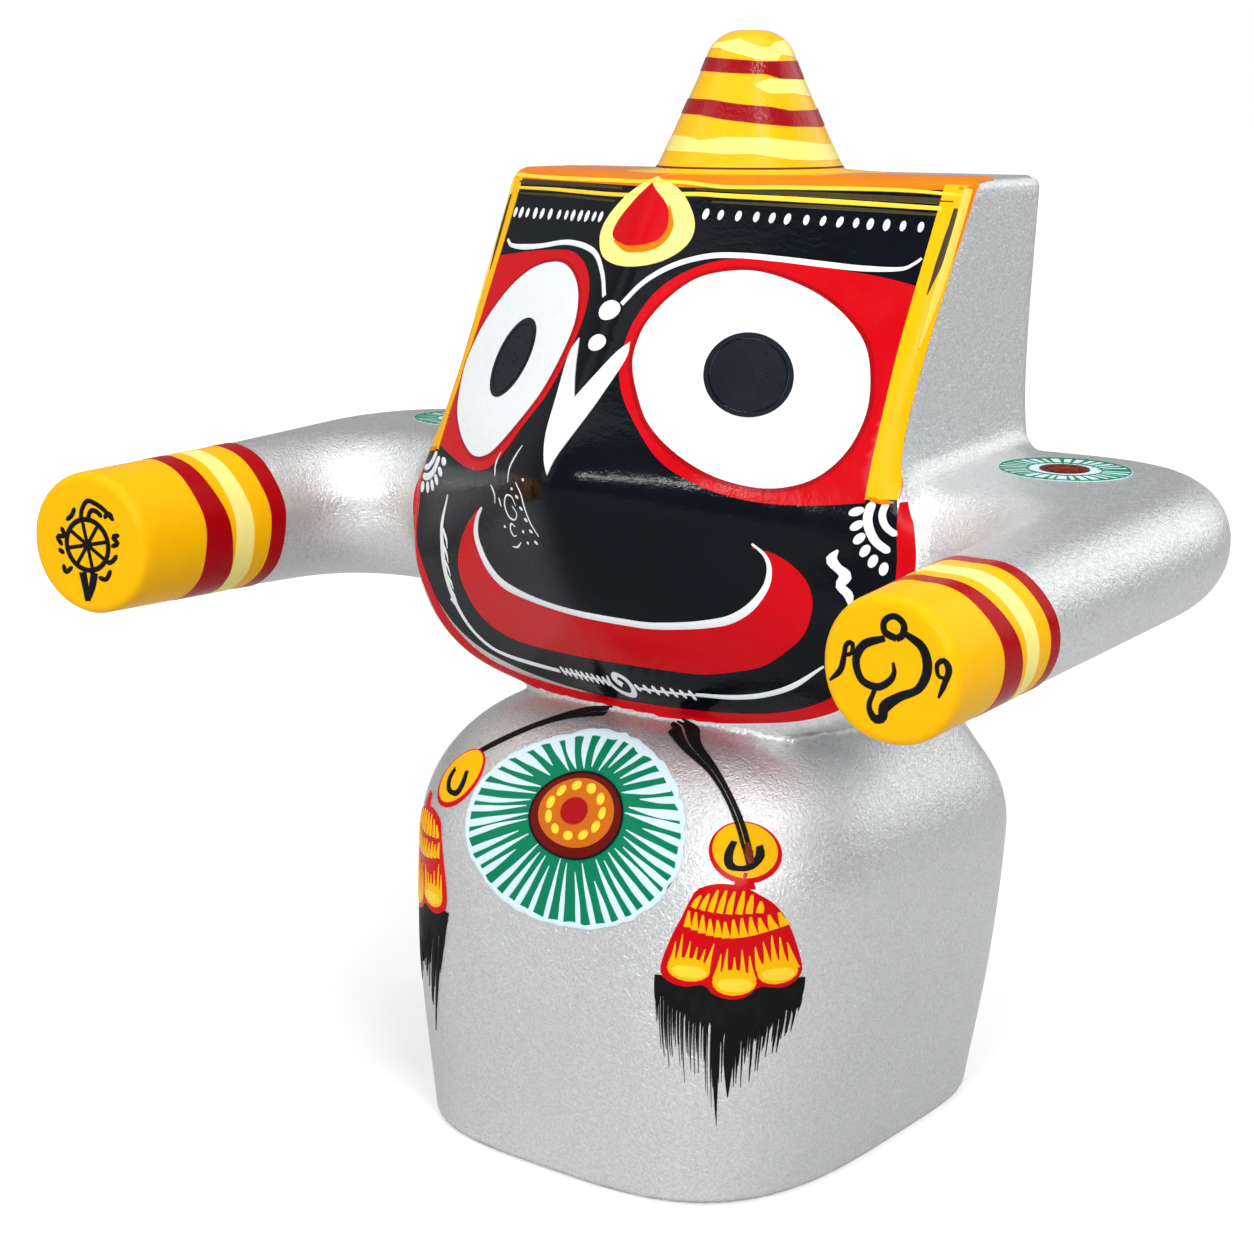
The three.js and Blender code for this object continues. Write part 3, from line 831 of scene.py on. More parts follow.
# Yellow lines along the face's upper edge and their shade, each a path and its widths
BORDER_LINES = [
    ([(-44, 154.2), (-30, 154.1), (-8, 154.3), (3, 154.4), (10, 153.8), (20, 153.8), (35, 153.6),
      (44.5, 152.9)], [0.5, 0.6, 0.5, 0.55, 0.45]),
    ([(-42, 152.2), (-30, 152.3), (-10, 152.2), (5, 152.7), (11, 152.5), (25, 151.9), (41.7, 151)],
     [0.45, 0.6, 0.55, 0.75, 0.6]),
]
BORDER_SHADES = [
    ([(-42, 153.2), (-20, 153.3), (-9, 153.2)], [0.9, 0.7, 0.4]),
    ([(6, 153.5), (22, 152.9), (43, 152.0)], [0.4, 0.8, 0.9]),
    ([(-41.6, 151.3), (-25, 151.4), (-10, 151.2)], [0.3, 0.5, 0.3]),
    ([(9, 151.6), (25, 151.0), (41.4, 150.1)], [0.3, 0.6, 0.4]),
]


def face_ground():
    """The black ground, the same on both sides."""
    right = curve(BLACK_OUTLINE, 1.2)
    outline = np.vstack([right, right[-2:0:-1] * (-1, 1)])
    painted("black_face", BLACK, fill(face, outline, 0))


def side_band(name, side):
    """The yellow stripe down one side of the face, with its darker lines."""
    one, other = (resampled(curve([(row[i], row[2]) for row in SIDE_BAND[side]], 1.0), SIDE_POINTS)
                  for i in (0, 1))
    painted(name + "_side_band", YELLOW, strip(face, one, other, 2, 5))
    edge = (one if side < 0 else other) + (side * 0.15, 0)
    narrowing = np.interp(edge[:, 1], [112, 126, 140, 154], [0.02, 0.1, 0.45, 0.6])
    tucked = edge - np.column_stack([side * narrowing, np.zeros(SIDE_POINTS)])
    painted(name + "_side_edge", ORANGE, strip(face, edge, tucked, 3, 3))
    for part, paint, points, widths, level in SIDE_STROKES:
        path = [(side * x, z) for x, z in points]
        painted(f"{name}_side_{part}", paint, stroke(face, path, widths, level))


def top_border():
    """The orange edge over the face and the yellow lines under it, with their shade."""
    xs = np.linspace(-TOP_HALF, TOP_HALF, LINE_POINTS)
    top = np.full(LINE_POINTS, HEAD_TOP)
    inner = np.column_stack([xs * 0.93, face_front(xs, top) + TOP_DEPTH, top - TOP_DEPTH])
    below = face(np.column_stack([xs, np.full(LINE_POINTS, TOP_FOOT)]))
    behind = np.column_stack([xs, np.interp(xs, [-45, 45], [15, 8]), top])
    start = np.repeat(inner, TOP_COLUMNS, axis=0)
    toward = unit(between(below, behind, TOP_COLUMNS, 1.3) - start)
    surface = cast(start, start + toward * TOP_RAY, head)
    painted("head_top_paint", ORANGE, coat(surface, faces_of_grid(LINE_POINTS, TOP_COLUMNS), 1))
    painted("border_lines", LEMON, *strokes(face, BORDER_LINES, 2))
    painted("border_shade", OLIVE, *strokes(face, BORDER_SHADES, 1))


def brow_marks():
    """White dots along the brow, the brow lines, the two dots and the narrow V between the eyes."""
    coats = []
    for xs, first, last, half_width, half_height in DOT_ROWS:
        for x, z in zip(xs, np.linspace(first, last, len(xs))):
            size = RANDOM.uniform(0.88, 1.1)
            turn = RANDOM.uniform(-8, 8)
            coats.append(blob(face, (x, z), half_width * size, half_height * size, 1, turn))
    painted("brow_dots", WHITE, *coats)
    painted("brow_lines", WHITE, *strokes(face, BROW_LINES, 1))
    dots = [((-0.8, 135.4), 2.1, 1.45), ((-0.7, 130.7), 1.7, 1.2)]
    painted("nose_dots", WHITE, *[blob(face, *dot, 2) for dot in dots])
    outline = np.vstack([curve(line, 0.6)[:-1] for line in NOSE_MARK])
    painted("nose_mark", WHITE, fill(face, outline, 3, 0.8))


def forehead_mark():
    """The drop-shaped mark over the nose: pale edge, orange rim, red core."""
    drop = [(-1.7, 155.1), (-4.8, 153.6), (-7.8, 151.6), (-10.4, 148.4), (-10.4, 145.6), (-7.2, 142.8),
            (-1.1, 141.8), (4.4, 142.6), (7.6, 145.2), (7.4, 148.8), (3.6, 153.3), (-1.7, 155.1)]
    core = [(-1.7, 154.2), (-4.4, 151.6), (-6.9, 148.2), (-6.6, 145.9), (-1.9, 144.6), (2.4, 145.0),
            (3.9, 147), (2.6, 150.8), (-1.7, 154.2)]
    rim = [(2.9, 150.9), (4.2, 147.6), (3.0, 145.1), (-1.4, 144.3), (-5.8, 145.3)]
    painted("forehead_mark", CREAM, fill(face, curve(drop, 0.7)[:-1], 3, 0.9))
    painted("forehead_core", RED, fill(face, curve(core, 0.6)[:-1], 4, 0.8))
    painted("forehead_rim", ORANGE, stroke(face, rim, [0.2, 0.9, 1.1, 0.8, 0.2], 5))


def eye(name):
    """A red field with a darker rim, the white, the pupil and its thin ring."""
    parts = EYES[name]
    centre, half_long, half_short, turn = parts["pupil"]
    painted(name + "_eye_field", RED, fill(face, curve(parts["field"], 0.9), 1))
    painted(name + "_eye_rim", DEEP_RED, stroke(face, parts["white"], 1.15, 2, 0.6, closed=True, bead=0.0))
    painted(name + "_eye_white", WHITE, fill(face, curve(parts["white"], 0.8, closed=True), 3))
    painted(name + "_pupil", PUPIL_BLACK, fill(face, oval(centre, half_long, half_short, turn), 4, 0.9))
    ring = oval(centre, half_long * 0.87, half_short * 0.87, turn, 24)
    painted(name + "_pupil_ring", BLACK, stroke(face, ring, 0.28, 5, closed=True, bead=0.04))
    specks = []
    for _ in range(PUPIL_SPECKS):
        share = math.sqrt(RANDOM.uniform(0, 0.55))
        angle = RANDOM.uniform(0, 2 * math.pi)
        place = np.add(centre, (half_long * share * math.cos(angle), half_short * share * math.sin(angle)))
        specks.append(blob(face, place, RANDOM.uniform(0.1, 0.24), RANDOM.uniform(0.08, 0.16), 5, bead=0.03))
    painted(name + "_pupil_specks", BLACK, *specks)


# Mouth and jaw
SMILE_LINE = [
    (-22.7, 103.2), (-24.8, 101), (-25.6, 98.2), (-24.2, 95.2), (-22, 92.7), (-18.7, 90.9), (-13.1, 90),
    (-7.6, 89.6), (0, 89.3), (6.3, 88.8), (10.8, 88.5), (15.8, 88.9), (20.2, 89.6), (24.1, 90.7),
    (27.4, 92.9), (29.7, 96), (30.3, 98.8), (29.7, 101), (28, 102.7),
]
LIP_OUTLINE = [
    (-23.4, 103.1), (-27.6, 100.4), (-30.9, 96.6), (-32.7, 92.1), (-32.4, 88.2), (-30.6, 84.3),
    (-27.6, 81.8), (-23.1, 80.4), (-17.6, 80), (-9.8, 80.2), (0, 80.6), (9.1, 80.4), (16.3, 80.4),
    (22.4, 81.6), (27.4, 83.2), (31.9, 86.3), (34.9, 89.3), (36.3, 93.2), (35.8, 96.6), (33.8, 99.3),
    (30.8, 101.4), (28, 102),
]
JAW_EDGE = [
    (-46.6, 109.2), (-47.9, 104), (-48.3, 98.5), (-47.8, 94.3), (-45.9, 91), (-43.7, 86.6), (-41.7, 82.1),
    (-38.9, 78.5), (-34.8, 75.4), (-29.8, 73.5), (-23.1, 72.5), (-13.1, 72.2), (0, 72.6), (9.1, 72.8),
    (17.4, 73.3), (25.8, 74.6), (32.4, 76.6), (37.4, 79.2), (42.0, 83.6), (45.2, 88.6), (46.9, 94.0),
    (47.2, 100), (46.9, 104.5), (46.3, 109.2),
]
SMILE_WIDTHS = [0.4, 1.4, 1.6, 1.5, 1.1, 1.0, 1.05, 1.1, 1.1, 1.15, 1.3, 1.2, 0.8, 0.3]
# The jaw's border: its widths at heights, and the length over which its ends round off
JAW_BORDER_HEIGHTS = [72, 80, 95, 106]
JAW_BORDER_WIDTHS = [2.4, 2.6, 2.6, 2.8]
JAW_BORDER_ROUND = 2.5
JAW_COLUMNS = 12
# Its rays: where they spread from, how far inside the edge and behind the skin they start, their length
# and the steps in which the way out is looked for
JAW_MIDDLE = (0, 104.0)
JAW_INSET = 7.0
JAW_DEPTH = 7.5
JAW_RAY = 16.0
JAW_STEPS = 28
# Shares of the turn from the face to the side at which the skin is measured along each ray's turn
JAW_SHARES = np.linspace(0, 0.95, 60)
# A step as long as this along the skin means that the ray has left the jaw
JAW_LEAP = 1.0


def rolling(values, span, measure):
    """A measure of each value's neighbourhood in a row of values."""
    padded = np.pad(values, span // 2, mode="edge")
    return measure(np.lib.stride_tricks.sliding_window_view(padded, span), axis=1)


def mouth():
    """The red smile and the white line along its upper edge."""
    upper, lower = (resampled(curve(line), LINE_POINTS) for line in (SMILE_LINE, LIP_OUTLINE))
    painted("red_smile", RED, strip(face, upper, lower, 1, 12))
    painted("smile_line", WHITE, stroke(face, SMILE_LINE, SMILE_WIDTHS, 2))


def first_out(start, ray):
    """Where each ray first leaves the block; rays that stay inside stop at their end."""
    away = np.linspace(0, 1, JAW_STEPS) * JAW_RAY
    places = start[:, None] + ray[:, None] * away[None, :, None]
    outside = block(*places.reshape(-1, 3).T).reshape(len(start), JAW_STEPS) > 0
    first = np.where(outside.any(1), outside.argmax(1), JAW_STEPS - 1)
    rows = np.arange(len(start))
    return cast(places[rows, np.maximum(first - 1, 0)], places[rows, first])


def jaw_border():
    """The red border that wraps from the face over the jaw's edge, with a thin white line under it."""
    line = curve(JAW_EDGE, 1.0)
    count = len(line)
    towards = unit(line - JAW_MIDDLE)
    skin = face(line)
    inner = np.insert(line - towards * JAW_INSET, 1, skin[:, 1] + JAW_DEPTH, axis=1)
    ahead = unit(skin - inner)
    aside = np.insert(towards, 1, 0, axis=1)

    def turned(share):
        """Surface points where each ray has turned by a share from the face towards the side."""
        ray = ahead[:, None] * (1 - share[..., None]) + aside[:, None] * share[..., None]
        start = np.repeat(inner, ray.shape[1], axis=0)
        return first_out(start, unit(ray.reshape(-1, 3))).reshape(ray.shape)

    steps = np.linalg.norm(np.diff(turned(np.tile(JAW_SHARES, (count, 1))), axis=1), axis=2)
    along = np.column_stack([np.zeros(count), np.cumsum(steps, axis=1)])
    leap = steps > JAW_LEAP
    furthest = rolling(JAW_SHARES[np.where(leap.any(1), leap.argmax(1), steps.shape[1])], 5, np.min)

    def share_at(widths):
        """The share of its turn at which each ray has gone a width along the skin, without spikes."""
        shares = np.array([np.interp(width, row, JAW_SHARES) for width, row in zip(widths, along)])
        return rolling(rolling(shares, 9, np.median), 5, np.mean)

    from_start = np.arange(count) * 1.0
    near_end = np.clip(np.minimum(from_start, from_start[::-1]) / JAW_BORDER_ROUND, 0.03, 1)
    widths = np.interp(line[:, 1], JAW_BORDER_HEIGHTS, JAW_BORDER_WIDTHS) * np.sqrt(1 - (1 - near_end) ** 2)
    for name, paint, start, end, level in (("jaw_primer", WHITE, widths * 0.88, widths + 0.3, 0),
                                           ("jaw_border", RED, widths * 0, widths, 1)):
        first = np.minimum(share_at(start), furthest * 0.98)
        last = np.minimum(share_at(end), furthest)
        share = first[:, None] + (last - first)[:, None] * np.linspace(0, 1, JAW_COLUMNS)
        surface = turned(share).reshape(-1, 3)
        painted(name, paint, coat(surface, faces_of_grid(count, JAW_COLUMNS), level))


# Strokes under the smile: the white line's two halves, the waves at its ends and the comma in its middle
CHIN_LINES = [
    ([(-35.9, 103.1), (-38.1, 98.2), (-37.8, 93.8), (-37.4, 88.2), (-36.4, 83.8), (-34.2, 79.9),
      (-30.9, 77.4), (-27, 76.4), (-20.9, 76), (-14.2, 75.9)],
     [0.3, 0.9, 1.3, 1.3, 1.0, 0.8, 0.7, 0.75, 0.8, 0.7]),
    ([(13.6, 76.2), (20.2, 76.7), (25.8, 77.9), (31.3, 80.2), (36.9, 84.1)], [0.6, 0.8, 0.8, 0.8, 0.3]),
    ([(39.4, 102.2), (38.6, 100.8), (39.4, 99.6), (40.6, 98.4), (40.0, 96.9), (41.2, 95.6), (41.6, 93.8)],
     [0.3, 1.6, 1.2, 1.7, 1.2, 1.3, 0.4]),
]
CHIN_COMMA = [(-2.2, 77.4), (-2.5, 75.7), (-1.2, 74.3), (0.8, 74.1), (1.9, 75.6), (1.5, 77.4), (0.0, 78.1),
              (-0.8, 77.0), (0.1, 76.0)]
# Each fan: its arcs with their widths, the places of its petals and the point that these turn about
CHEEK_FANS = {
    "right_fan": ([([(44.9, 109.3), (44.7, 107.5), (45.4, 105.8), (46.9, 104.6)], 0.95),
                   ([(43.1, 109.3), (43, 106.6), (44.1, 103.8), (46.1, 102.1)], 1.2)],
                  [(41.4, 107.9), (41.7, 105.9), (42.1, 104.0), (42.9, 102.2), (44.0, 100.7), (45.5, 99.6)],
                  (46.9, 109.9)),
    "left_fan": ([([(-46.3, 105.9), (-44.4, 106.5), (-43.0, 107.7), (-42.3, 109.2)], 0.95),
                  ([(-46.8, 104.4), (-44.2, 104.8), (-41.9, 106.2), (-40.5, 108.6)], 1.2)],
                 [(-46.9, 102.6), (-44.6, 102.9), (-42.5, 103.6), (-40.7, 104.8), (-39.2, 106.4),
                  (-38.2, 108.2)], (-45, 110)),
}


def chin_marks():
    """The white line round the chin, its ticks, the comma in its middle and the waves at its ends."""
    coats = strokes(face, CHIN_LINES, 1)
    for z in np.linspace(97, 85, 6):
        coats.append(stroke(face, [(-37.7, z), (-36.4, z - 1.5), (-36.1, z - 3)], [0.7, 0.6, 0.1], 1))
    ticks = [(x, 76.1, 0.9) for x in np.linspace(-13.2, -3.4, 9)]
    ticks += [(x, 76.0, 0.8) for x in np.linspace(3.0, 12.8, 7)]
    for x, z, half in ticks:
        half *= RANDOM.uniform(0.8, 1.15)
        coats.append(stroke(face, [(x - 0.25, z + half), (x, z), (x + 0.25, z - half)], 0.62, 1, 0.3))
    coats.append(stroke(face, [(-13.5, 76), (-8, 76.1), (-3, 76.0)], 0.4, 1))
    coats.append(stroke(face, [(3, 75.9), (8, 75.9), (13.5, 76.1)], 0.4, 1))
    coats.append(stroke(face, CHIN_COMMA, [0.4, 0.8, 0.9, 0.9, 0.9, 0.8, 0.8, 1.1, 1.3], 1, 0.35))
    painted("chin_line", WHITE, *coats)


def cheek_fans():
    """White arcs and petals round the jaw's upper corners."""
    for name, (arcs, petals, centre) in CHEEK_FANS.items():
        coats = strokes(face, arcs, 2, 0.4)
        for x, z in petals:
            turn = math.degrees(math.atan2(z - centre[1], x - centre[0]))
            coats.append(blob(face, (x, z), 1.0, 0.62, 2, turn))
        painted(name, WHITE, *coats)


def nose_curls():
    """Thin white curls and dots beside the nose, a plain ornament."""
    lines = [
        [(-9.8, 114.9), (-10.9, 113.4), (-12.2, 111.2), (-12.4, 109.0)],
        [(-10.2, 105.6), (-11.2, 106.9), (-13.1, 106.8), (-14.1, 105.1), (-13.2, 103.4), (-11.3, 103.2),
         (-10.3, 104.4), (-11.4, 105.4)],
        [(-11.6, 102.0), (-12.8, 102.3), (-13.4, 101.2), (-12.6, 100.3), (-11.6, 100.6)],
        [(-16.4, 113.0), (-17.4, 111.0), (-17.2, 109.2)],
        [(-18.6, 107.6), (-17.4, 106.3), (-17.6, 104.8)],
        [(-15.9, 106.0), (-15.4, 104.6)],
        [(-9.6, 109.4), (-7.9, 107.8), (-7.2, 105.6), (-6.2, 103.4), (-4.6, 101.6)],
        [(-10.6, 99.6), (-12.0, 98.6), (-13.6, 98.4)],
    ]
    coats = [stroke(face, p, [0.12, 0.34, 0.3, 0.12], 1, 0.3, bead=0.04) for p in lines]
    coats += [blob(face, (-9.4 + 0.9 * i, 107.2 - 1.7 * i), 0.5, 0.24, 1, -20) for i in range(5)]
    dots = ((-9.2, 101.6), (-8.4, 99.9), (-15.2, 101.4), (-7.2, 110.2), (-11.0, 108.2))
    coats += [blob(face, place, 0.3, 0.24, 1) for place in dots]
    painted("nose_curls", WHITE, *coats)


# Chest: the lotus, the cords and the tassels
LOTUS_CENTRE = (-0.1, 54.5)
LOTUS_HALF = (21.8, 13.8)
LOTUS_HEART = (0.5, 57.3)
LOTUS_HEART_HALF = (9.2, 6.4)
LOTUS_SPOKES = 42
LOTUS_SCALE = LOTUS_HALF[0] / 21.6


def spoke(centre, heart, half, heart_half, angle, start):
    """Both ends of one spoke of a lotus; start is its share of the way from the heart to the rim."""
    ray = np.array([math.cos(angle), math.sin(angle)])
    inner = np.array(heart) + ray * heart_half
    outer = np.array(centre) + ray * half
    return inner * (1 - start) + outer * start, outer


def closed_widths(low, high, count):
    """Uneven widths for a closed stroke, whose last is its first."""
    widths = RANDOM.uniform(low, high, count + 1)
    widths[-1] = widths[0]
    return widths


def lotus_spokes():
    """White spokes that widen into a white rim."""
    half = np.array(LOTUS_HALF)
    coats = []
    for i in range(LOTUS_SPOKES):
        angle = 2 * math.pi * (i + RANDOM.uniform(-0.12, 0.12)) / LOTUS_SPOKES
        reach = RANDOM.choice([0.0, 0.0, 0.06, 0.14, 0.3]) + RANDOM.uniform(0, 0.05)
        start, end = spoke(LOTUS_CENTRE, LOTUS_HEART, half * 0.97, LOTUS_HEART_HALF, angle, reach)
        wide = LOTUS_SCALE * RANDOM.uniform(0.9, 1.3)
        middle = (start + end) / 2 + RANDOM.normal(0, 0.12 * LOTUS_SCALE, 2)
        widths = [0.12, 0.55 * wide, 0.95 * wide, wide]
        coats.append(stroke(front, [start, middle, end], widths, 1, 0.6))
    rim = oval(LOTUS_CENTRE, *half, count=LOTUS_SPOKES * 2)
    wave = 1 + RANDOM.uniform(-0.012, 0.012, len(rim))
    rim = np.array(LOTUS_CENTRE) + (rim - LOTUS_CENTRE) * wave[:, None] * 0.972
    widths = closed_widths(0.55, 1.0, len(rim)) * LOTUS_SCALE
    coats.append(stroke(front, rim, widths, 2, closed=True))
    return coats


def chest_lotus():
    """The flower on the chest: green under white, round a red and brown heart with pale dots."""
    disc = oval(LOTUS_CENTRE, *(np.array(LOTUS_HALF) * 0.985), count=96)
    painted("chest_lotus_green", GREEN, fill(front, disc, 0))
    painted("chest_lotus_white", COOL_WHITE, *lotus_spokes())
    heart = ((0.5, 57.2), 8.9, 6.0)
    painted("lotus_heart_rim", DARK_RED, fill(front, oval(*heart), 3, 0.9))
    edge = oval(*heart, count=40)
    painted("lotus_heart_edge", BRUSH_BLACK, stroke(front, edge, 0.32, 4, closed=True, bead=0.03))
    painted("lotus_heart", BROWN, fill(front, oval((0.5, 57.6), 7.3, 4.8), 4, 0.9))
    painted("lotus_core", DEEP_RED, fill(front, oval((0.1, 57.9), 2.6, 1.9), 5, 0.8))
    dots = []
    for angle in turns(11) + 0.15:
        place = (0.3 + 5.2 * math.cos(angle), 57.9 + 3.5 * math.sin(angle))
        half_width = RANDOM.uniform(0.85, 1.0)
        dots.append(blob(front, place, half_width, RANDOM.uniform(0.62, 0.76), 5, math.degrees(angle) + 90))
    painted("lotus_dots", LEMON, *dots)


def dry_brush(chart, points, widths, hairs, level):
    """Strands side by side along a path, as a nearly dry brush leaves them."""
    line = curve(points, 0.6)
    aside = sideways(line)
    wide = spread(widths, len(line))
    strands = []
    for i in range(hairs):
        place = (i + 0.5) / hairs - 0.5 + RANDOM.uniform(-0.06, 0.06)
        first = int(len(line) * RANDOM.uniform(0, 0.08))
        last = len(line) - int(len(line) * RANDOM.uniform(0, 0.08))
        own = (line + aside * (wide * place)[:, None])[first:last]
        thick = wide[first:last] / hairs * RANDOM.uniform(0.7, 1.2)
        strands.append(stroke(chart, own[::3], thick[::6], level, 0.6, bead=0.04))
    return strands


def cords():
    """Thin dry-brushed cords from under the chin to the tassels."""
    left = [(-4.6, 70.4), (-10.4, 69.4), (-14.9, 67.8), (-19.9, 65.2), (-24.9, 62), (-27.9, 58.9)]
    right = [(7.4, 70.4), (10.2, 69.7), (14.6, 68.2), (20.1, 66.2), (24.6, 63.5), (28.1, 60.3), (30.5, 57.0),
             (31.9, 54.4)]
    left = dry_brush(front, left, [1.3, 1.1, 0.8, 0.9, 0.9, 0.8], 3, 0)
    right = dry_brush(front, right, [2.0, 1.8, 1.3, 1.0, 0.9, 1.0, 1.2, 1.0], 5, 4)
    painted("left_cord", BRUSH_BLACK, *left)
    painted("right_cord", BRUSH_BLACK, *right)
    end = [(30.3, 57.6), (31.0, 56.2), (31.7, 54.9)]
    painted("right_cord_end", RIM_BROWN, stroke(front, end, [0.5, 1.1, 0.7], 5, 0.3))


# The right tassel's drawing; the left one is the same, turned over
BELL = [
    (25.2, 50.8), (28.2, 51.8), (31.4, 51.6), (33.6, 50.6), (35.8, 49.0), (37.4, 46.0), (38.4, 41.8),
    (38.7, 38.2), (37.2, 36.2), (34.6, 36.5), (33.2, 35.0), (31.2, 34.5), (28.9, 35.1), (27.4, 36.4),
    (24.3, 35.8), (21.4, 36.6), (20.5, 38.3), (21.6, 42.5), (23.2, 46.5), (24.2, 49.2),
]
# Each lobe: centre, half width, half height and the tips of its rays
LOBES = [
    ((24.9, 38.5), 3.3, 1.8,
     [(22.6, 42.4), (23.6, 43.8), (24.9, 42.8), (26.0, 41.8), (27.2, 41.9), (28.4, 42.6)]),
    ((31.4, 37.1), 2.8, 2.0, [(29.5, 41.2), (30.3, 42.3), (31.3, 41.2), (32.2, 42.2), (33.2, 41.4)]),
    ((36.3, 38.7), 2.1, 1.9, [(33.8, 42.6), (34.7, 43.7), (35.6, 44.3), (36.5, 44.1), (37.3, 43.2)]),
]
# Where the fringe is solid, and the fringe's middle, which its hairs lean to
FRINGE_TOP = [(19.8, 36.9), (24, 37.4), (31, 36.2), (36.5, 37.4), (38.9, 37.4)]
FRINGE_SOLID = [(19.8, 33.0), (22, 31), (25.8, 31.2), (27.6, 30.2), (29.4, 28.4), (31.2, 26.0), (32.5, 26.4),
                (33.9, 28), (36.5, 30.2), (38.9, 32.4)]
FRINGE_MIDDLE = 29.0


def stud(name, chart, centre, half, turn):
    """A yellow stud with a red rim, thick at its foot, and a brushed black mark."""
    rim = oval(np.add(centre, (0.05, -0.3)), half + 0.55, 3.8, turn)
    painted(name + "_stud_rim", RED, fill(chart, rim, 1, 1.0))
    painted(name + "_stud", YELLOW, fill(chart, oval(centre, half, 3.35, turn), 2, 1.0))
    mark = [(-1.6, 1.2), (-1.8, -0.5), (-1.2, -2.0), (0.2, -2.4), (1.7, -2.0), (2.4, -0.7), (1.9, 0.8)]
    widths = [0.9, 1.25, 1.2, 0.65, 1.0, 1.25, 0.8]
    painted(name + "_stud_mark", BRUSH_BLACK, stroke(chart, np.add(mark, centre), widths, 3))


def bell(name, chart):
    """The tassel's red bell: two bands of yellow rays over three lobes, each with its own rays."""
    painted(name + "_bell", RED, fill(chart, curve(BELL, 0.9, closed=True), 1, 1.1))
    throat = [(31.3, 53.6), (31.4, 52.4), (31.5, 51.2)]
    painted(name + "_bell_neck", RED, stroke(chart, throat, [1.6, 2.4, 3.2], 1))
    rays = []
    for share in np.linspace(0, 1, 8):
        bow = math.sin(math.pi * share)
        rays.append(([(25.7 + 8.3 * share, 49.8 + 1.2 * bow), (24.8 + 9.2 * share, 47.9 - 0.4 * bow)],
                     [0.3, 0.85, 0.95]))
    for share in np.linspace(0, 1, 12):
        bow = math.sin(math.pi * share)
        rays.append(([(24.2 + 12.0 * share, 47.2 - 1.0 * bow + 0.8 * share),
                      (24.2 + 12.8 * share, 44.9 - 1.5 * bow + 1.0 * share)], [0.3, 0.75, 1.2]))
    for centre, half_width, half_height, tips in LOBES:
        for i, tip in enumerate(tips):
            share = 2 * i / (len(tips) - 1) - 1
            foot = (centre[0] + 0.82 * half_width * share, centre[1] + 0.2 * half_height)
            rays.append(([tip, foot], [0.12, 0.5, 1.05]))
    gold = []
    for (tip, foot), widths in rays:
        middle = ((tip[0] + foot[0]) / 2 + RANDOM.uniform(-0.08, 0.08), (tip[1] + foot[1]) / 2)
        tip = (tip[0], tip[1] + RANDOM.uniform(-0.3, 0.3))
        gold.append(stroke(chart, [tip, middle, foot], widths, 2, 0.4))
    gold += [blob(chart, place, a, b, 2) for place, a, b, _ in LOBES]
    painted(name + "_gold", YELLOW, *gold)
    pale = [blob(chart, (x + 0.15, z - 0.3), a * 0.8, b * 0.58, 3) for (x, z), a, b, _ in LOBES]
    painted(name + "_gold_light", LEMON, *pale)


def fringe(name, chart, envelope, hairs):
    """A brushed fringe, solid at its head and parted into tapered hairs down to an envelope of tips."""
    tops, solid, tips = (np.array(line).T for line in (FRINGE_TOP, FRINGE_SOLID, envelope))
    coats = []

    def hair(x, start, end, widths):
        lean = 0.012 * (FRINGE_MIDDLE - x) * (start - end)
        points = [(x, start), (x + lean * 0.4, (start + end) / 2), (x + lean, end)]
        coats.append(stroke(chart, points, widths, 0, 0.8, bead=0.04))

    ends = tops[0][0] + 0.3, tops[0][-1] - 0.3
    for x in np.linspace(*ends, 26):
        foot = max(np.interp(x, *solid), np.interp(x, *tips) + 2) + RANDOM.uniform(-1.2, 1.6)
        hair(x, np.interp(x, *tops), foot, [0.9, 1.0, 0.95, 0.8, 0.1])
    for x in np.linspace(*ends, hairs):
        x += RANDOM.uniform(-0.12, 0.12)
        low = np.interp(x, *tips)
        start = max(np.interp(x, *solid), low + 2) + 2
        end = start - (start - low) * RANDOM.uniform(0.45, 1.0)
        wide = RANDOM.uniform(0.16, 0.42)
        hair(x, start, end, [wide, wide, 0.8 * wide, 0.5 * wide, 0.05])
    x, low = tips[:, np.argmin(tips[1])]
    hair(x + 0.9, 31, low, [0.9, 1.1, 0.8, 0.4, 0.06])
    hair(x + 2.6, 30, low + 4.8, [0.9, 1.3, 1.2, 0.7, 0.1])
    painted(name + "_fringe", BRUSH_BLACK, *coats)


def left_chest(flat):
    """The right tassel's drawing, turned over and drawn in for the left side."""
    x, z = flat.T
    across = x - 29.6
    return front(np.column_stack([-32.6 - across * np.where(across > 0, 0.86, 0.96), z + 0.4]))


# Each tassel: its chart, its stud's middle, half width and turn, its fringe's tips and number of hairs
TASSELS = {
    "right_tassel": (front, (30.1, 56.5), 4.8, -26,
                     [(19.8, 27), (21.1, 24.1), (23.5, 21.1), (26, 19.6), (27.6, 18.6), (28.7, 13.9),
                      (29.6, 19), (32.3, 19.8), (33.7, 20.5), (35, 22.4), (36.4, 23.3), (37.8, 26),
                      (38.9, 31)], 56),
    "left_tassel": (left_chest, (23.2, 57.8), 5.4, -35,
                    [(19.7, 28), (20.6, 16), (22, 19), (24, 22), (28, 22.5), (32, 20), (36, 17), (37.6, 21),
                     (38.9, 30)], 48),
}


def tassels():
    """A stud, a bell and a fringe on each side."""
    for name, (chart, centre, half, turn, tips, hairs) in TASSELS.items():
        stud(name, chart, centre, half, turn)
        bell(name, chart)
        fringe(name, chart, tips, hairs)


# Hands, forearms and the shoulders' lotuses
SHOULDER_SPOKES = 32
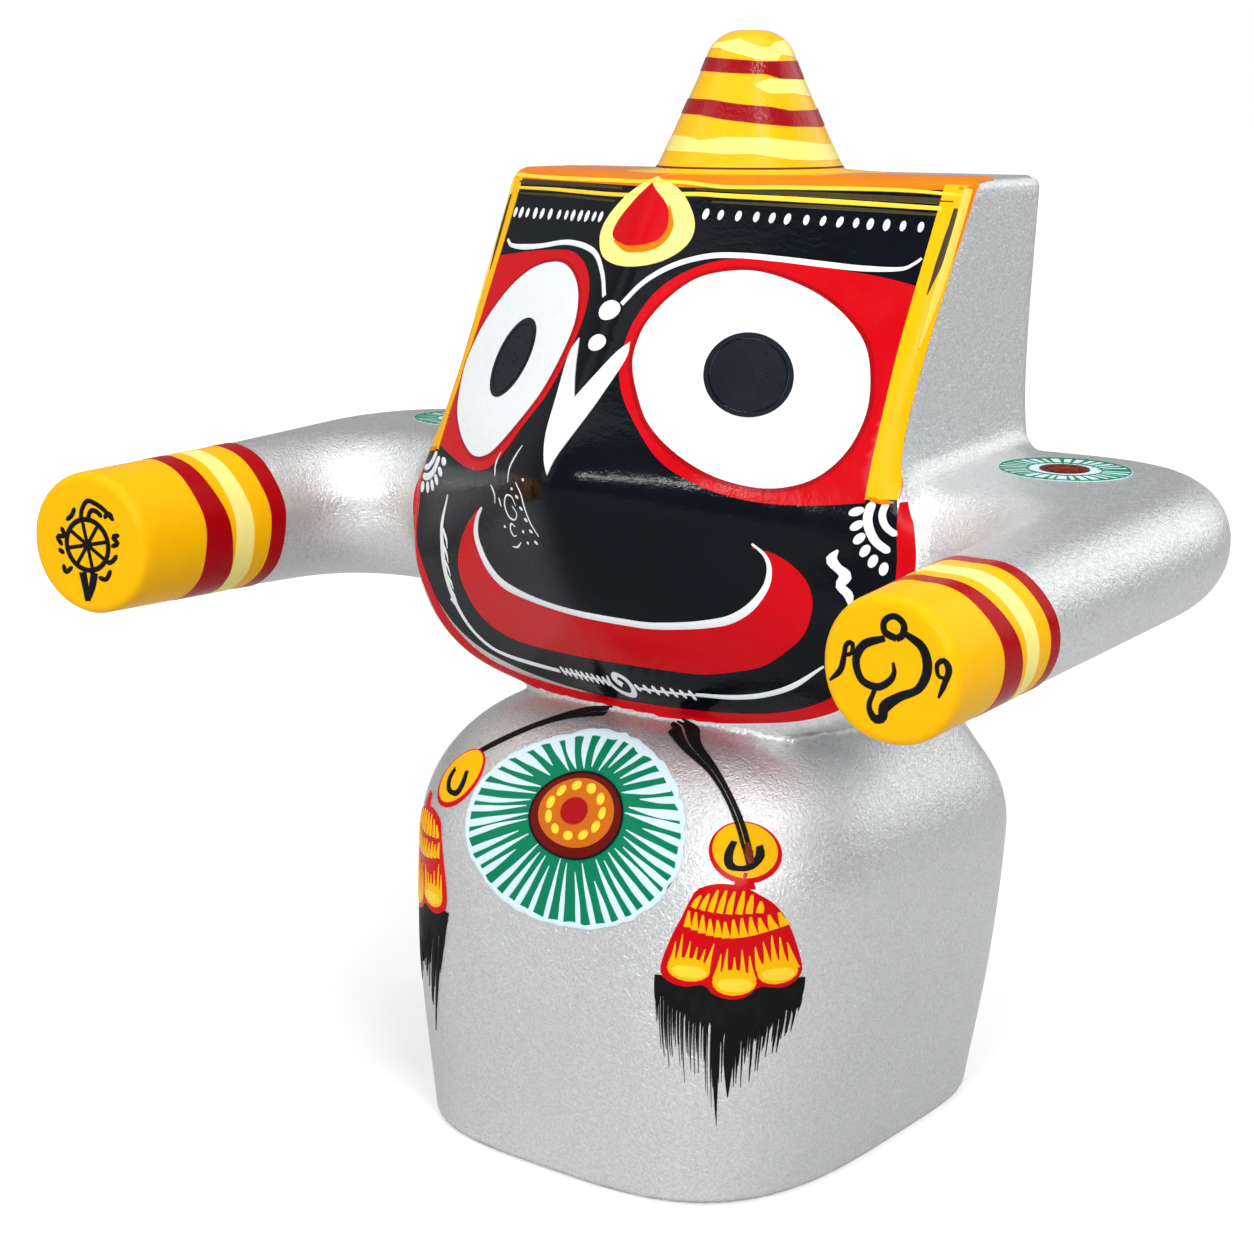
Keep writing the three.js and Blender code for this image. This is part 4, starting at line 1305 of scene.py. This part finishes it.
# How far rays go from a forearm's middle to outside it, and where the glove's turn back from the hand's end
ARM_CLEAR = 20
GLOVE_CLEAR = 24
GLOVE_START = -(HAND_REACH - 9.0)


def wrist(side):
    """The middle of a hand's flat end, (x, z)."""
    x = (HAND_INSIDE + HAND_OUTSIDE) / 2 - side * 0.5 * (UNEVEN["inside"] + UNEVEN["outside"])
    return np.array([side * x, HEAD_TOP - HAND_DROP + side * UNEVEN["lift"]])


def arm_ring(side, along):
    """Surface places round a forearm; along is (angle, y), with angle 0 outward along +X and 90 up."""
    x, z = wrist(side)
    angle, y = np.radians(along[:, 0]), along[:, 1]
    inner = np.column_stack([np.full(len(y), x), y, np.full(len(y), z)])
    outward = np.column_stack([np.cos(angle), np.zeros(len(y)), np.sin(angle)])
    return cast(inner, inner + outward * ARM_CLEAR)


def arm_band(side, edges, ragged):
    """A painted ring: each edge is (y at the side, y on top)."""
    angle = np.linspace(0, 360, ROUND, endpoint=False)
    wave = ragged * (np.sin(np.radians(angle * 3) + 1) + 0.6 * np.sin(np.radians(angle * 7)))
    lines = [np.column_stack([angle, at_side + (on_top - at_side) * np.sin(np.radians(angle)) + wave])
             for at_side, on_top in edges]
    return strip(lambda flat: arm_ring(side, flat), *lines, 2, 5, True)


def glove(side, back_edge):
    """Yellow paint over the hand's end, its edge and the forearm up to the last ring."""
    x, z = wrist(side)
    bends = np.radians(np.concatenate([np.arange(2, 38, 4), np.arange(38, 60, 1.5), np.arange(61, 91, 3.6)]))
    angle = turns(ROUND)
    outward = np.column_stack([np.cos(angle), np.zeros(ROUND), np.sin(angle)])
    at_side, on_top = back_edge
    end_y = at_side + (on_top - at_side) * np.sin(angle)
    rows = []
    for bend in bends:
        towards = outward * math.sin(bend) - (0, math.cos(bend), 0)
        rows.append((np.tile([x, GLOVE_START, z], (ROUND, 1)), towards))
    for share in np.linspace(0, 1, 22)[1:]:
        y = GLOVE_START + (end_y - GLOVE_START) * share
        rows.append((np.column_stack([np.full(ROUND, x), y, np.full(ROUND, z)]), outward))
    return sleeve(rows, GLOVE_CLEAR, 1)


# Each arm's rings by their front and back edges, and where its glove ends: (y at the side, y on top)
ARM_RINGS = {
    1: {"glove": (-46.0, -48.0), "red": [((-58.7, -60.9), (-54.5, -58.4)), ((-47.8, -49.8), (-45.6, -47.6))],
        "pale": ((-53.4, -56.2), (-50.6, -52.8))},
    -1: {"glove": (-36.6, -36.6), "red": [((-53.9, -54.5), (-48.4, -50.9)), ((-39.5, -39.8), (-36.2, -36.2))],
         "pale": ((-47.3, -48.1), (-43.4, -44.5))},
}
CONCH_LINES = [
    ([(1.2, 4.4), (-0.5, 5.0), (-0.6, 6.4), (0.8, 7.2), (2.2, 6.4), (2.1, 5.0), (1.2, 4.4)],
     [0.9, 1.0, 0.9, 0.8, 0.9, 1.0, 0.9]),
    ([(-0.5, 4.2), (-3.5, 3.0), (-4.7, 0.8), (-3.8, -1.6), (-1.5, -2.2), (0.3, -1.2), (1, 0), (0.8, 1.3)],
     [0.8, 1.1, 1.2, 1.1, 1.0, 1.0, 0.9, 0.4]),
    ([(2.5, 5.2), (5, 3.8), (5.8, 1.2), (4.6, -1.5), (1.8, -3), (-0.3, -4.6), (-0.6, -6), (-1.8, -6.3),
      (-2.6, -4.8), (-1.8, -2.6)], [0.8, 1.2, 1.4, 1.3, 1.0, 1.2, 1.6, 1.2, 0.8, 0.6]),
    ([(-8.6, -2.4), (-7, -0.8), (-6.5, 1.2), (-6.2, 2.6), (-5.3, 2.9), (-5.4, 1.6), (-6.5, 1.2)],
     [0.3, 0.8, 0.9, 0.7, 0.7, 0.6, 0.5]),
    ([(7.5, -2.2), (8.3, -0.3), (8.8, 1.4), (8.2, 2.6), (7.2, 2.0), (7.4, 0.6), (8.4, 0.4)],
     [0.3, 0.8, 0.8, 0.8, 0.7, 0.6, 0.4]),
]
FLAMES = [
    [(-2.2, 5.8), (-2.8, 4.5), (-4.0, 3.6)],
    [(-5.1, 2.4), (-4.5, 1.0), (-5.9, 0.7), (-5.0, -0.7)],
    [(-5.8, -1.3), (-4.7, -2.0)],
    [(-5.0, -3.8), (-4.6, -5.1), (-3.2, -4.1)],
    [(5.3, 4.8), (4.3, 5.3), (3.6, 4.4)],
    [(6.4, 1.9), (5.1, 1.5), (6.0, 0.5), (4.7, -0.1)],
    [(5.8, -1.4), (4.7, -2.6), (3.6, -2.9)],
    [(4.4, -4.0), (3.4, -5.6), (1.9, -5.4)],
    [(-1.1, 3.9), (-0.7, 5.7), (0.5, 7.1), (2.7, 6.4), (4.4, 5.2), (5.4, 4.2)],
    [(0.3, 3.9), (0.9, 5.4), (2.0, 5.5), (3.2, 4.6)],
]


def forearm_paint(name, side):
    """The yellow hand, the two red rings and the pale ring between them."""
    rings = ARM_RINGS[side]
    painted(name + "_hand_paint", YELLOW, glove(side, rings["glove"]))
    painted(name + "_red_rings", DEEP_RED, *[arm_band(side, edges, 0.2) for edges in rings["red"]])
    painted(name + "_pale_ring", CREAM, arm_band(side, rings["pale"], 0.15))


def conch_mark():
    """A brushed conch on the right hand's end."""
    lines = [(np.add(points, wrist(1)), widths) for points, widths in CONCH_LINES]
    painted("conch_mark", BRUSH_BLACK, *strokes(on_hand, lines, 2, 0.4))


def wheel_mark():
    """A brushed wheel with flames and a handle on the left hand's end."""
    middle = wrist(-1)
    centre = middle + (0.0, -0.2)
    coats = [stroke(on_hand, oval(centre, 4.1, 4.2, count=20), 0.85, 2, 0.4, closed=True)]
    for angle in turns(8) + 0.2:
        ray = np.array([math.cos(angle), math.sin(angle)])
        path = [centre + ray * 0.3, centre + ray * 2, centre + ray * 4.0]
        coats.append(stroke(on_hand, path, 0.65, 2, 0.4))
    coats += [stroke(on_hand, np.add(points, middle), 0.8, 2, 0.4) for points in FLAMES]
    coats.append(blob(on_hand, centre, 0.9, 0.9, 3))
    for top, foot in (((-1.2, -4.8), (-0.7, -9.6)), ((1.1, -4.7), (-0.3, -9.5))):
        halfway = ((top[0] + foot[0]) / 2 + 0.15, (top[1] + foot[1]) / 2)
        coats.append(stroke(on_hand, np.add([top, halfway, foot], middle), [1.5, 1.3, 0.6], 2, 0.4))
    painted("wheel_mark", BRUSH_BLACK, *coats)


def shoulder_lotus(name, side):
    """A pale disc with green spokes, a pale ring and a dark red heart."""
    centre = np.array((side * 60.3, 4.9))
    half = np.array((10.7, 7.3))
    painted(name + "_white", COOL_WHITE, fill(from_above, oval(centre, *half, count=64), 0))
    green = []
    for i in range(SHOULDER_SPOKES):
        angle = 2 * math.pi * (i + RANDOM.uniform(-0.2, 0.2)) / SHOULDER_SPOKES
        start, end = spoke(centre, centre, half * 0.97, half * 0.5, angle, RANDOM.uniform(0, 0.2))
        wide = RANDOM.uniform(0.45, 0.8)
        path = [start, (start + end) / 2, end]
        green.append(stroke(from_above, path, [0.2 * wide, 0.6 * wide, wide], 1, 0.6))
    widths = closed_widths(0.1, 0.35, SHOULDER_SPOKES)
    for share, count, own in ((0.975, 48, widths), (0.56, 32, widths[::-1] * 0.5)):
        green.append(stroke(from_above, oval(centre, *(half * share), count=count), own, 2, closed=True))
    painted(name + "_green", GREEN, *green)
    painted(name + "_heart", DARK_RED, fill(from_above, oval(centre, 4.0, 2.8, count=40), 3, 0.9))
    dots = []
    for angle in turns(9):
        place = centre + (2.7 * math.cos(angle), 1.9 * math.sin(angle))
        dots.append(blob(from_above, place, RANDOM.uniform(0.4, 0.6), 0.36, 4))
    dots.append(blob(from_above, centre, 1.2, 0.8, 4))
    painted(name + "_dots", RIM_BROWN, *dots)


# Crown: how far its rays go, the height that they spread from at its tip and the height of its paint's foot
CROWN_CLEAR = 26
CROWN_SPREAD = HEIGHT - 7.0
CROWN_FOOT = HEAD_TOP + 0.9


def around_crown(angle):
    """Directions away from the crown's axis, with angle 0 towards -Y and a right angle towards +X."""
    return np.column_stack([np.sin(angle), -np.cos(angle), np.zeros(len(angle))])


def crown_ring(points):
    """Surface places round the crown; points are (angle in degrees, z)."""
    inner = np.column_stack([np.zeros(len(points)), np.full(len(points), CROWN_SEAT), points[:, 1]])
    return cast(inner, inner + around_crown(np.radians(points[:, 0])) * CROWN_CLEAR)


def crown_band(top_edge, bottom_edge, level, first=0, last=360, columns=5):
    """A ring, or part of one; each edge is a list of (angle, z)."""
    whole = last - first >= 360
    angle = np.linspace(first, last, 90, endpoint=not whole)
    lines = [np.column_stack([angle, np.interp(angle, *np.array(edge, float).T, period=360)])
             for edge in (top_edge, bottom_edge)]
    return strip(crown_ring, *lines, level, columns, whole)


# Stripes round the crown: upper and lower edges as (angle, z)
CROWN_REDS = [
    ([(-35, 173.6), (21, 173.1), (53, 172.8), (109, 173.0), (240, 173.6)],
     [(-35, 171.5), (23, 171.0), (51, 170.9), (68, 170.2), (111, 170.1), (240, 171.3)]),
    ([(-38, 167.1), (-2, 166.9), (26, 166.2), (52, 165.8), (70, 165.2), (108, 165.3), (250, 166.9)],
     [(-39, 164.8), (-11, 164.6), (17, 163.8), (40, 163.3), (66, 162.8), (106, 162.7), (250, 164.4)]),
]
CROWN_PALES = [
    ([(-16, 175.9), (15, 176.4), (48, 175.1), (61, 175.1), (76, 175.9), (104, 176.2), (230, 175.8)],
     [(-16, 175.0), (21, 173.9), (50, 173.0), (69, 172.9), (78, 173.9), (104, 173.6), (230, 174.6)]),
    ([(-52, 160.4), (-40, 161.4), (-11, 161.1), (-3, 160.6), (17, 161.2), (45, 161.1), (72, 160.5),
      (97, 159.9), (200, 160.8)],
     [(-52, 158.9), (0, 158.8), (17, 158.5), (37, 158.6), (61, 157.7), (76, 157.5), (105, 157.5),
      (200, 158.6)]),
]
CROWN_SHORT_PALE = (
    [(40, 169.4), (48, 169.9), (56, 170.2), (118, 170.0), (200, 169.8), (230, 169.3)],
    [(40, 168.9), (46, 168.4), (54, 167.8), (76, 167.9), (111, 167.4), (200, 168.6), (230, 169.1)],
)


def crown_paint():
    """The crown's yellow paint, from its tip to its foot, and the stripes round it."""
    outward = around_crown(turns(ROUND))
    rows = []
    for bend in np.radians(np.arange(3, 91, 4.35)):
        rows.append((CROWN_SPREAD, outward * math.sin(bend) + (0, 0, math.cos(bend))))
    for z in np.linspace(CROWN_SPREAD, CROWN_FOOT, 18)[1:]:
        rows.append((z, outward))
    for drop in (0.02, 0.035, 0.047):
        rows.append((CROWN_FOOT, outward - (0, 0, drop)))
    rows = [(np.tile([0, CROWN_SEAT, z], (ROUND, 1)), towards) for z, towards in rows]
    painted("crown_paint", CROWN_YELLOW, sleeve(rows, CROWN_CLEAR, 0))
    painted("crown_red_rings", CROWN_RED, *[crown_band(*edges, 2) for edges in CROWN_REDS])
    painted("crown_pale_rings", CROWN_CREAM, *[crown_band(*edges, 1) for edges in CROWN_PALES],
            crown_band(*CROWN_SHORT_PALE, 1, 40, 230))
    painted("crown_foot_line", RIM_BROWN,
            crown_band([(0, 156.5), (180, 156.5)], [(0, 156.2), (180, 156.2)], 1, columns=3))


# Camera, lights and floor
PHOTO_SIZE = 1254
FOCAL_PIXELS = 2399.2
CAMERA_AZIMUTH = 37.71
CAMERA_ELEVATION = 12.515
CAMERA_DISTANCE = 399.745
CAMERA_ASIDE = -15.406
CAMERA_LIFT = -7.935
SENSOR = 36.0
# The middle of the figure in metres, which the lights look at
LOOK_AT = Vector((0, 0, 0.09))
# Each light: its azimuth and elevation in degrees, its distance and size in metres and its power
LIGHTS = {
    "top_light": (20, 82, 1.0, (1.2, 1.0), 6.4),
    "edge_light": (54, 36, 0.95, (0.22, 0.42), 3.5),
    "crease_light": (15, 22, 1.0, (0.32, 0.04), 3.2),
    "left_light": (-50, 25, 1.1, (0.6, 0.9), 1.8),
    "back_light": (150, 28, 1.1, (0.9, 0.8), 3.0),
}
ROOM_LIGHT = 0.32
# The floor's glow as the camera sees it near and far, and the share of it that lights the figure
FLOOR_GLOW_NEAR = 0.47
FLOOR_GLOW_FAR = 0.90
FLOOR_GLOW_SHARE = 0.1
FLOOR_HALF = 12.0


def heading(azimuth, elevation):
    """The direction at an azimuth from -Y towards +X and an elevation, in degrees."""
    a = math.radians(azimuth)
    e = math.radians(elevation)
    return Vector((math.sin(a) * math.cos(e), -math.cos(a) * math.cos(e), math.sin(e)))


def camera():
    """The photograph's camera."""
    back = heading(CAMERA_AZIMUTH, CAMERA_ELEVATION)
    right = heading(CAMERA_AZIMUTH + 90, 0)
    up = back.cross(right)
    place = Vector((0, 0, HEIGHT / 2)) + back * CAMERA_DISTANCE + right * CAMERA_ASIDE + up * CAMERA_LIFT
    data = bpy.data.cameras.new("camera")
    data.sensor_width = SENSOR
    data.lens = SENSOR * FOCAL_PIXELS / PHOTO_SIZE
    data.clip_start = 0.01
    data.clip_end = 20
    made = bpy.data.objects.new("camera", data)
    made.matrix_world = Matrix.Translation(place * MM) @ Matrix((right, up, back)).transposed().to_4x4()
    bpy.context.scene.collection.objects.link(made)
    bpy.context.scene.camera = made


def softbox(name, azimuth, elevation, distance, size, power):
    """A soft area light that looks at the figure's middle."""
    data = bpy.data.lights.new(name, "AREA")
    data.shape = "RECTANGLE"
    data.size, data.size_y = size
    data.energy = power
    light = bpy.data.objects.new(name, data)
    light.location = LOOK_AT + heading(azimuth, elevation) * distance
    light.rotation_euler = (LOOK_AT - light.location).to_track_quat("-Z", "Y").to_euler()
    bpy.context.scene.collection.objects.link(light)


def studio():
    """The lights and the white room."""
    for name, light in LIGHTS.items():
        softbox(name, *light)
    world = bpy.data.worlds.new("studio")
    world.use_nodes = True
    tree = world.node_tree
    tree.nodes.clear()
    seen = node(tree, "ShaderNodeLightPath").outputs["Is Camera Ray"]
    strength = ranged(tree, seen, 0, 1, ROOM_LIGHT, 1.0)
    background = node(tree, "ShaderNodeBackground", {"Color": (1, 1, 1, 1), "Strength": strength})
    node(tree, "ShaderNodeOutputWorld", {"Surface": background.outputs["Background"]})
    bpy.context.scene.world = world
    bpy.context.scene.view_settings.view_transform = "Standard"


def floor():
    """A plain pale floor."""
    half = FLOOR_HALF
    corners = [(-half, -half, 0), (half, -half, 0), (half, half, 0), (-half, half, 0)]
    mesh = bpy.data.meshes.new("floor")
    mesh.from_pydata(corners, [], [(0, 1, 2, 3)])
    material, tree, place = new_material("floor_paper")
    fibre = grain(tree, place, 60, detail=5)
    base = blended(tree, ranged(tree, fibre, 0.3, 0.7, 0, 1), (0.54, 0.54, 0.54), (0.57, 0.57, 0.57))
    away = node(tree, "ShaderNodeVectorMath", {0: place}, operation="LENGTH").outputs["Value"]
    near_far = ranged(tree, away, 0.25, 0.9, FLOOR_GLOW_NEAR, FLOOR_GLOW_FAR)
    seen = node(tree, "ShaderNodeLightPath").outputs["Is Camera Ray"]
    share = ranged(tree, seen, 0, 1, FLOOR_GLOW_SHARE, 1.0)
    shaded(tree, {"Base Color": base, "Roughness": 0.8, "Emission Color": (1, 1, 1, 1),
                  "Emission Strength": times(tree, near_far, share)})
    mesh.materials.append(material)
    made = bpy.data.objects.new("floor", mesh)
    bpy.context.scene.collection.objects.link(made)


camera()
carved_block()
face_ground()
top_border()
side_band("left", -1)
side_band("right", 1)
for eye_name in EYES:
    eye(eye_name)
brow_marks()
forehead_mark()
mouth()
jaw_border()
chin_marks()
cheek_fans()
nose_curls()
chest_lotus()
cords()
tassels()
for arm_name, arm_side in (("left", -1), ("right", 1)):
    forearm_paint(arm_name, arm_side)
    shoulder_lotus(arm_name + "_shoulder_lotus", arm_side)
conch_mark()
wheel_mark()
crown_paint()
studio()
floor()
